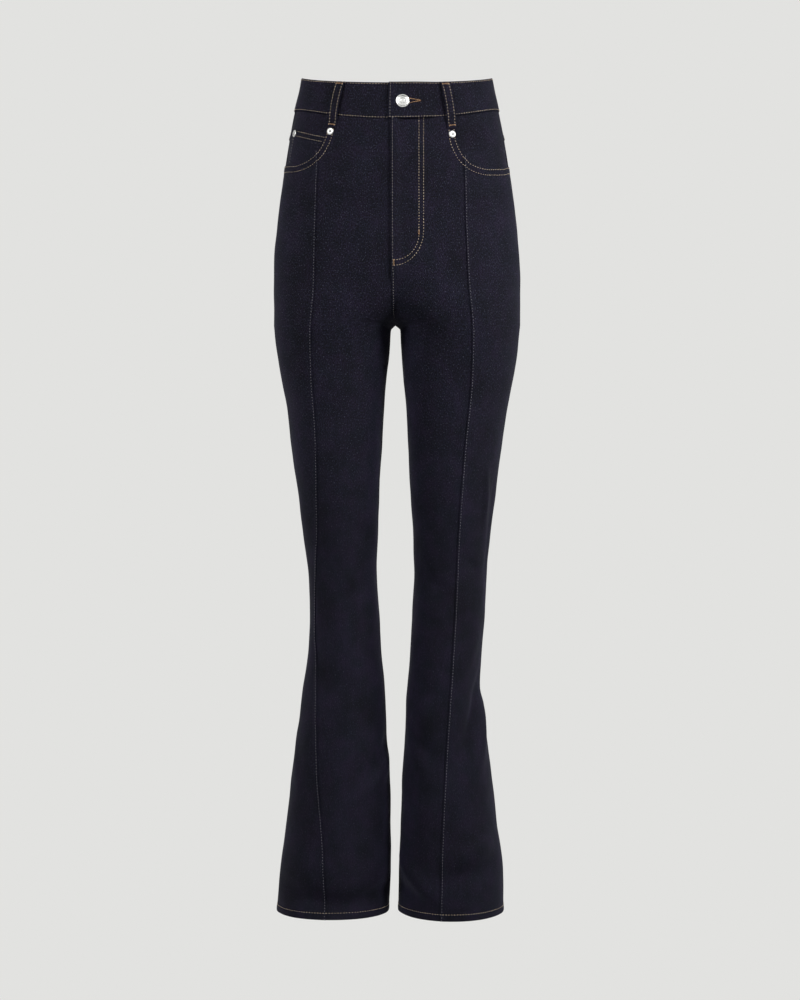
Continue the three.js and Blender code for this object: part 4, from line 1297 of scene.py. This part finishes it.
def colour_property(label, description, code):
    return FloatVectorProperty(name=label, description=description, subtype="COLOR", default=srgb(code)[:3],
                               min=0, max=1)


class JeansFinish(bpy.types.PropertyGroup):
    warp: colour_property("Warp Colour", "Indigo of the denim's warp, linear", "#07060b")
    weft: colour_property("Weft Colour", "Colour where the denim's weft shows, linear", "#201e30")
    thread: colour_property("Thread Colour", "Colour of the main topstitching, linear", "#d8c6ab")
    stitch_length: length_property(
        "Stitch Length", "Length of one stitch on the surface", 0.0017, 0.001, 0.006)
    stitch_gap: length_property(
        "Stitch Gap", "Cloth that shows between two stitches", 0.00195, 0.0002, 0.003)
    thread_diameter: length_property(
        "Thread Diameter", "Thickness of the topstitching thread", 0.0008, 0.0003, 0.002)


class JeansStage(bpy.types.PropertyGroup):
    distance: length_property("Camera Distance", "From the camera to the middle of the jeans", 3.4, 1, 10)
    key: FloatProperty(name="Key Light", description="Power of the large front light, in watts",
                       default=8.7, min=0, max=2000)
    floor_drop: length_property("Floor Drop", "How far the floor is below the hems", 0.27, 0, 1)


def entered(piece, node=None):
    """Puts a piece on the garment's root body and hides the solid that it replaces, if any."""
    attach(piece, "root")
    if node:
        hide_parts(node)


def sew(name, points, wrong_side="Denim wrong side", turned_up=None):
    """Makes a cloth piece in place of the solid of its name, and states its cut."""
    faces = [material("Rinsed indigo denim"), material(wrong_side)]
    piece = cloth_object(name + "_cloth", *points, faces, turned_up)
    entered(piece, name)


def sew_panel(piece, turned_up=None):
    sew(piece.name, panel_points(piece), turned_up=turned_up)


# Metres. The lamps stand high, so that folds across the legs show, and spread little, so that the legs darken
# towards the hems. Power is a share of the key lamp's.
SENSOR = 36
VIEW_HEIGHT = 1.3
VIEW_CENTRE = (0.0039, -0.5473)
LIT = Vector((0, 0, -0.46))
LAMP_SPREAD = math.radians(68)
LAMPS = table(("name", "place", "power", "size"), [
    ("key", (1.85, -1.45, 1.0), 1.0, 0.7),
    ("fill", (-1.4, -1.8, 0.9), 0.86, 1.2),
    ("side", (2.1, -0.3, -0.3), 0.3, 0.9),
    ("back", (0, 2.7, 0.8), 1.1, 1.6),
])
BACKDROP = "#e2e2e0"
AMBIENT = 0.1


class JEANS_OT_stage(bpy.types.Operator):
    """Camera, soft studio light and a plain pale floor that runs up into the backdrop"""
    bl_idname = "jeans.stage"
    bl_label = "Stage"

    def execute(self, context):
        size = context.scene.jeans_stage
        floor = -HEM * MM - size.floor_drop
        reach, bend, top, segments = 7.0, 1.6, 9.0, 96
        profile = [(0.02, 0.0), (reach - bend, 0.0)]
        profile += [(reach - bend + bend * math.sin(a), bend - bend * math.cos(a))
                    for a in np.linspace(0.1, math.pi / 2, 12)]
        profile += [(reach, top)]
        points = [(r * math.cos(t), r * math.sin(t), floor + z) for r, z in profile
                  for t in np.linspace(0, 2 * math.pi, segments, endpoint=False)]
        faces = ring_faces(len(profile), segments) + [tuple(reversed(range(segments)))]
        mesh = bpy.data.meshes.new("studio_floor")
        mesh.from_pydata(points, [], faces)
        mesh.shade_smooth()
        floor_piece = new_piece("studio_floor", mesh)
        paint, tree = new_material("Matt studio paint")
        shader = add(tree, "ShaderNodeEmission", {"Color": srgb(BACKDROP), "Strength": 1.0})
        finish_material(tree, shader)
        mesh.materials.append(paint)
        floor_piece.visible_diffuse = False
        floor_piece.visible_shadow = False

        camera = new_piece("camera", bpy.data.cameras.new("camera"))
        camera.data.sensor_width = SENSOR
        camera.data.lens = SENSOR * size.distance / VIEW_HEIGHT
        camera.location = (VIEW_CENTRE[0], -size.distance, VIEW_CENTRE[1])
        camera.rotation_euler = (math.pi / 2, 0, 0)
        context.scene.camera = camera

        for row in LAMPS:
            light = bpy.data.lights.new(row["name"], "AREA")
            light.energy = size.key * row["power"]
            light.size = row["size"]
            light.spread = LAMP_SPREAD
            lamp = new_piece(row["name"], light)
            lamp.location = row["place"]
            lamp.rotation_euler = (LIT - lamp.location).to_track_quat("-Z", "Y").to_euler()
        world = bpy.data.worlds.new("soft daylight")
        world.use_nodes = True
        sky = world.node_tree.nodes["Background"].inputs
        sky["Color"].default_value = srgb(BACKDROP)
        sky["Strength"].default_value = AMBIENT
        context.scene.world = world
        context.scene.view_settings.view_transform = "Standard"
        return {"FINISHED"}


class JEANS_OT_fronts(bpy.types.Operator):
    """The centre and side panels of both front legs"""
    bl_idname = "jeans.fronts"
    bl_label = "Front Panels"

    def execute(self, context):
        for leg in LEGS.values():
            sew_panel(front_centre(leg), turned_up=TURNED_UP)
            sew_panel(front_side(leg), turned_up=TURNED_UP)
        return {"FINISHED"}


class JEANS_OT_hip_pockets(bpy.types.Operator):
    """The cloth inside the pocket mouths and the coin pocket on it"""
    bl_idname = "jeans.hip_pockets"
    bl_label = "Hip Pockets"

    def execute(self, context):
        for leg in LEGS.values():
            sew_panel(pocket_facing(leg))
        sew_panel(coin_pocket())
        return {"FINISHED"}


class JEANS_OT_backs(bpy.types.Operator):
    """The yokes and the back panels"""
    bl_idname = "jeans.backs"
    bl_label = "Yokes and Backs"

    def execute(self, context):
        for leg in LEGS.values():
            sew_panel(yoke(leg))
            sew_panel(back(leg), turned_up=TURNED_UP)
        return {"FINISHED"}


class JEANS_OT_back_pockets(bpy.types.Operator):
    """The two patch pockets at the back"""
    bl_idname = "jeans.back_pockets"
    bl_label = "Back Pockets"

    def execute(self, context):
        for leg in LEGS.values():
            sew(f"back_pocket_{leg.name}", back_pocket_points(leg))
        return {"FINISHED"}


class JEANS_OT_waistband(bpy.types.Operator):
    """The waistband, one strip lapped over at the centre front"""
    bl_idname = "jeans.waistband"
    bl_label = "Waistband"

    def execute(self, context):
        sew("waistband", band_points(), "Rinsed indigo denim")
        return {"FINISHED"}


class JEANS_OT_loops(bpy.types.Operator):
    """The five belt loops"""
    bl_idname = "jeans.loops"
    bl_label = "Belt Loops"

    def execute(self, context):
        for loop in LOOPS:
            sew(loop["name"], loop_points(loop), "Rinsed indigo denim")
        return {"FINISHED"}


BUTTON = SimpleNamespace(leg="left", down=23.1, turn=math.radians(3.05), radius=8.5, shank=2.7)
# Its cap, from the underside of the rim over a groove to the face. inside is the distance from the cap's
# edge, and height is above the underside.
BUTTON_RIM = table(("inside", "height"), [
    (1.2, 0), (0.35, 0.15), (0, 0.6), (0, 1.2), (0.25, 1.7), (0.8, 1.95), (1.35, 1.85), (1.65, 1.55),
    (1.9, 1.5), (2.3, 1.85), (3.2, 2.15),
])
BUTTON_FACE = table(("radius", "height"), [
    (3.6, 2.4), (3.3, 2.3), (3.0, 2.3), (2.7, 2.45), (1.4, 2.55), (0.2, 2.6),
])
# A rivet's cap and the burr in its middle: radius and height.
RIVET_PROFILE = [
    (0.2, -0.4), (4.3, -0.4), (4.6, -0.1), (4.6, 0.35), (4.35, 0.7), (3.8, 0.95), (3.0, 1.15), (1.7, 1.25),
    (1.45, 1.0), (1.1, 1.0), (0.95, 1.5), (0.6, 1.8), (0.1, 1.85),
]
RIVETS = table(("name", "leg", "down", "turn", "lift"), [
    ("rivet_left", "left", 67.3, 28.8, 0.3),
    ("rivet_right", "right", 65, 35.2, 0.3),
    ("rivet_coin", "right", 73.3, 70.6, FACING_LIFT + 0.5 + PATCH_CLOTH + 0.3),
])


class JEANS_OT_metal(bpy.types.Operator):
    """The shank button and the pocket rivets"""
    bl_idname = "jeans.metal"
    bl_label = "Button and Rivets"

    def execute(self, context):
        # dark is painted shade. It goes in the button's groove and face dip and in the hollow round each
        # rivet's burr.
        bright, dark = material("Polished nickel plate"), material("Blackened nickel")
        foot, outward = standing(LEGS[BUTTON.leg], BUTTON.down, BUTTON.turn, 0)
        cap = BAND_LIFT + OVER_LIFT + 0.5
        profile = [(0.4, 0.0), (BUTTON.shank, 0.0), (BUTTON.shank, cap)]
        profile += [(BUTTON.radius - row["inside"], cap + row["height"]) for row in BUTTON_RIM]
        profile += [(row["radius"], cap + row["height"]) for row in BUTTON_FACE]
        button = lathe_object("button_nickel", profile, foot, outward, [bright, dark], dark_rings=(10, 14))
        entered(button, "button")
        for row in RIVETS:
            foot, outward = standing(LEGS[row["leg"]], row["down"], math.radians(row["turn"]), row["lift"])
            rivet = lathe_object(row["name"] + "_nickel", RIVET_PROFILE, foot, outward,
                                 [material("Dull nickel plate"), dark], dark_rings=(7, 8, 9), segments=40)
            entered(rivet, row["name"])
        return {"FINISHED"}


class JEANS_OT_zip(bpy.types.Operator):
    """The finish of the closed zip behind the fly"""
    bl_idname = "jeans.zip"
    bl_label = "Zip"

    def execute(self, context):
        tape = bpy.data.objects["zip"]
        tape.data.materials.clear()
        tape.data.materials.append(material("Woven zip tape"))
        return {"FINISHED"}


THREAD_STAND = 0.22            # how far a thread's middle stands off the cloth
BAND_END_ROW = OVER_END + 0.8  # the row down the waistband's lapped end


def mouth_rows(leg):
    """Two rows round the pocket mouth, on the centre panel and then on the side panel."""
    centre, side = front_centre(leg), front_side(leg)
    rows = []
    for inside in MOUTH_ROWS:
        turn, down, _ = mouth_line(leg, inside)
        keep = (down > BAND_DEPTH - 1) & (turn < SIDE_SEAM - 0.012)
        turn, down = turn[keep], down[keep]
        on_side = (down > leg.meet) & (turn > turn_across(leg, down, leg.seam(down)))
        points = np.where(on_side[:, None], outer_place(side, down, turn, THREAD_STAND),
                          outer_place(centre, down, turn, THREAD_STAND))
        rows.append(points)
    return rows


def seam_row(piece, down, left=None, right=None):
    return outer_place(piece, down, edge_places(piece, down, left, right), THREAD_STAND)


# The fly's two rows: straight down at a distance from the centre seam to where they bend, then a quarter of
# an ellipse in to the centre.
FLY_ROWS = table(("across", "bend", "end"), [(35.5, 200, 248.5), (29.6, 205, 241.3)])
FLY_CENTRE = -1.5


def fly_rows():
    leg = LEGS["left"]
    piece = front_centre(leg)
    rows = []
    for row in FLY_ROWS:
        around = np.linspace(0, math.pi / 2, 60)
        across = np.concatenate((np.full(60, row["across"]), mix(FLY_CENTRE, row["across"], np.cos(around))))
        bend = mix(row["bend"], row["end"], np.sin(around))
        down = np.concatenate((np.linspace(BAND_DEPTH, row["bend"], 60, endpoint=False), bend))
        rows.append(outer_place(piece, down, turn_across(leg, down, across), THREAD_STAND))
    return rows


class JEANS_OT_front_stitching(bpy.types.Operator):
    """Topstitching of the fly, the pocket mouths and the coin pocket"""
    bl_idname = "jeans.front_stitching"
    bl_label = "Front Topstitching"

    def execute(self, context):
        rows = fly_rows() + [row for leg in LEGS.values() for row in mouth_rows(leg)]
        coin = coin_pocket()
        share = np.linspace(0.02, 1, 40)
        turn = mix(coin.start(np.array(70.0)), COIN_POCKET.turn - 0.012, share)
        edge = mix(COIN_POCKET.inner + 1, COIN_POCKET.outer, share)
        rows += [outer_place(coin, edge + inside, turn, THREAD_STAND) for inside in COIN_ROWS]
        stitched("front_topstitching", rows, "Tan topstitching thread")
        side = seam_row(coin, np.linspace(70, 110, 30), right=1.8)
        stitched("coin_pocket_side_stitching", [side], "Grey-tan seam thread", 0.85)
        return {"FINISHED"}


class JEANS_OT_seam_stitching(bpy.types.Operator):
    """The single rows down the front legs and the centre front"""
    bl_idname = "jeans.seam_stitching"
    bl_label = "Leg Seam Stitching"

    def execute(self, context):
        for leg in LEGS.values():
            down = np.linspace(leg.meet + 2, HEM - 1, 420)
            stitched(f"leg_seam_stitching_{leg.name}", [seam_row(front_side(leg), down, left=SEAM_ROW)],
                     "Slate seam thread", 0.85)
        down = np.linspace(BAND_DEPTH, CROTCH - 6, 130)
        row = seam_row(front_centre(LEGS["left"]), down, left=SEAM_ROW)
        stitched("centre_front_stitching", [row], "Grey-tan seam thread")
        return {"FINISHED"}


class JEANS_OT_back_stitching(bpy.types.Operator):
    """Double rows on the yokes, the seat seam and the back pockets"""
    bl_idname = "jeans.back_stitching"
    bl_label = "Back Topstitching"

    def execute(self, context):
        rows = []
        yoke_end = np.array([YOKE_SEAM[-1]["down"]], float)
        for leg in LEGS.values():
            top, whole = yoke(leg), back(leg)
            turn = np.linspace(SIDE_SEAM + 0.02, float(back_end(leg, yoke_end)[0]) - 0.02, 90)
            rows += [outer_place(top, yoke_level(turn) - inside, turn, THREAD_STAND) for inside in TWIN_ROWS]
            for inside in TWIN_ROWS:
                aside, low = inside / POCKET_WIDTH, 1 - inside / POCKET_HEIGHT
                bottom = np.linspace(aside, 1 - aside, 60)[1:-1]
                fall = np.linspace(0.005, low, 30)
                u = np.concatenate((np.full(30, aside), bottom, np.full(30, 1 - aside)))
                v = np.concatenate((fall, np.full(58, low), np.linspace(low, 0.005, 30)))
                rows.append(pocket_row(leg, u, v))
            top_row = np.full(50, POCKET_HEM / POCKET_HEIGHT)
            rows.append(pocket_row(leg, np.linspace(0.016, 0.984, 50), top_row))
            if leg.sign > 0:
                for inside in TWIN_ROWS:
                    rows.append(seam_row(top, np.linspace(BAND_DEPTH, 112, 30), right=inside))
                    rows.append(seam_row(whole, np.linspace(119, CROTCH - 18, 90), right=inside))
        stitched("back_topstitching", rows, "Tan topstitching thread")
        return {"FINISHED"}


def pocket_row(leg, u, v):
    down, turn = pocket_place(leg, u[None, :], v[None, :])
    sides = np.minimum(u, 1 - u) * POCKET_WIDTH
    lift = pocket_lift(sides, v * POCKET_HEIGHT, (1 - v) * POCKET_HEIGHT)
    return skin(leg, down[0], turn[0], lift + THREAD_STAND)


class JEANS_OT_band_stitching(bpy.types.Operator):
    """Rows round the waistband and down the loops"""
    bl_idname = "jeans.band_stitching"
    bl_label = "Waistband Stitching"

    def execute(self, context):
        degrees = np.linspace(BAND_END_ROW, 359, 480)
        rows = [band_skin(degrees, level, band_lift(degrees, level) + THREAD_STAND) for level in BAND_ROWS]
        for loop in LOOPS:
            down = np.linspace(1.2, 56.6, 30)
            rows += [loop_skin(loop, down, side, LOOP_CLOTH - 0.2 + THREAD_STAND) for side in (-4.0, 4.0)]
        stitched("waistband_topstitching", rows, "Tan topstitching thread")
        down = np.linspace(*BAND_ROWS, 20)
        row = band_skin(BAND_END_ROW + 0 * down, down, band_lift(BAND_END_ROW, down) + THREAD_STAND)
        stitched("waistband_end_stitching", [row], "Grey-tan seam thread")
        return {"FINISHED"}


class JEANS_OT_hem_stitching(bpy.types.Operator):
    """One row round each hem"""
    bl_idname = "jeans.hem_stitching"
    bl_label = "Hem Stitching"

    def execute(self, context):
        level = HEM - HEM_ROW
        rows = []
        for leg in LEGS.values():
            for piece in (front_centre(leg), front_side(leg), back(leg)):
                ends = piece.start(np.array([level])), piece.end(np.array([level]))
                turn = np.linspace(float(ends[0][0]), float(ends[1][0]), 90)
                rows.append(outer_place(piece, level + 0 * turn, turn, THREAD_STAND))
        stitched("hem_topstitching", rows, "Tan topstitching thread")
        return {"FINISHED"}


TACK_LENGTH = 9.2              # across a loop, from one of its rows to the other
TACK_WIDTH = 1.5
LOOP_TACKS = (3.6, 56.0)
FLY_TACKS = table(("down", "across", "stand", "length", "width"), [
    (199.5, 29.6, 0.4, 6.0, 1.6),
    (241.0, -2.4, 0.5, 7.5, 1.7),
])
# The buttonhole, from its eye by the centre front to its narrow end, with its half-widths there.
BUTTONHOLE = SimpleNamespace(start=9.5, end=31.0, eye=4.0, slit=0.3, stitch=0.5, count=44)


class JEANS_OT_bartacks(bpy.types.Operator):
    """Close zigzag tacks at the loops and the fly, and the edge of the buttonhole"""
    bl_idname = "jeans.bartacks"
    bl_label = "Bartacks and Buttonhole"

    def execute(self, context):
        lines = []
        for loop in LOOPS:
            for level in LOOP_TACKS:
                def on_loop(along, aside):
                    return loop_skin(loop, level + aside, along - TACK_LENGTH / 2, LOOP_CLOTH + 0.3)

                lines.append(zigzag(on_loop, TACK_LENGTH, TACK_WIDTH))
        leg = LEGS["left"]
        fly = front_centre(leg)
        for tack in FLY_TACKS:
            def on_fly(along, aside):
                down = tack["down"] + along
                return outer_place(fly, down, turn_across(leg, down, tack["across"] + aside), tack["stand"])

            lines.append(zigzag(on_fly, tack["length"], tack["width"]))
        tacked("bartacks", lines, "Orange bartack thread")

        hole = BUTTONHOLE
        share = np.linspace(0, 1, hole.count)
        side = np.where(np.arange(hole.count) % 2, 1, -1)
        eyelet = []
        for way in (-1, 1):
            down = BUTTON.down + way * mix(hole.eye, hole.slit, share) + side * hole.stitch
            degrees = np.degrees(turn_across(leg, down, mix(hole.start, hole.end, share)))
            eyelet.append(band_skin(degrees, down, band_lift(degrees) + 0.35))
        tacked("buttonhole", eyelet, "Orange bartack thread")
        return {"FINISHED"}


class JEANS_PT_panel(bpy.types.Panel):
    """Settings and steps for the jeans"""
    bl_idname = "JEANS_PT_panel"
    bl_label = "Bootcut Jeans"
    bl_space_type = "VIEW_3D"
    bl_region_type = "UI"
    bl_category = "Jeans"

    def draw(self, context):
        for settings in (context.scene.jeans_finish, context.scene.jeans_stage):
            for name in settings.__annotations__:
                self.layout.prop(settings, name)
        for step in STEPS:
            self.layout.operator(step.bl_idname)


STEPS = (JEANS_OT_stage, JEANS_OT_fronts, JEANS_OT_hip_pockets, JEANS_OT_backs, JEANS_OT_back_pockets,
         JEANS_OT_waistband, JEANS_OT_loops, JEANS_OT_metal, JEANS_OT_zip, JEANS_OT_front_stitching,
         JEANS_OT_seam_stitching, JEANS_OT_band_stitching, JEANS_OT_back_stitching, JEANS_OT_hem_stitching,
         JEANS_OT_bartacks)
CLASSES = (JeansFinish, JeansStage) + STEPS + (JEANS_PT_panel,)


def register():
    for cls in CLASSES:
        bpy.utils.register_class(cls)
    bpy.types.Scene.jeans_finish = PointerProperty(type=JeansFinish)
    bpy.types.Scene.jeans_stage = PointerProperty(type=JeansStage)


def unregister():
    del bpy.types.Scene.jeans_stage
    del bpy.types.Scene.jeans_finish
    for cls in reversed(CLASSES):
        bpy.utils.unregister_class(cls)


def main():
    register()
    for step in STEPS:
        group, name = step.bl_idname.split(".")
        getattr(getattr(bpy.ops, group), name)()


if __name__ == "__main__":
    main()
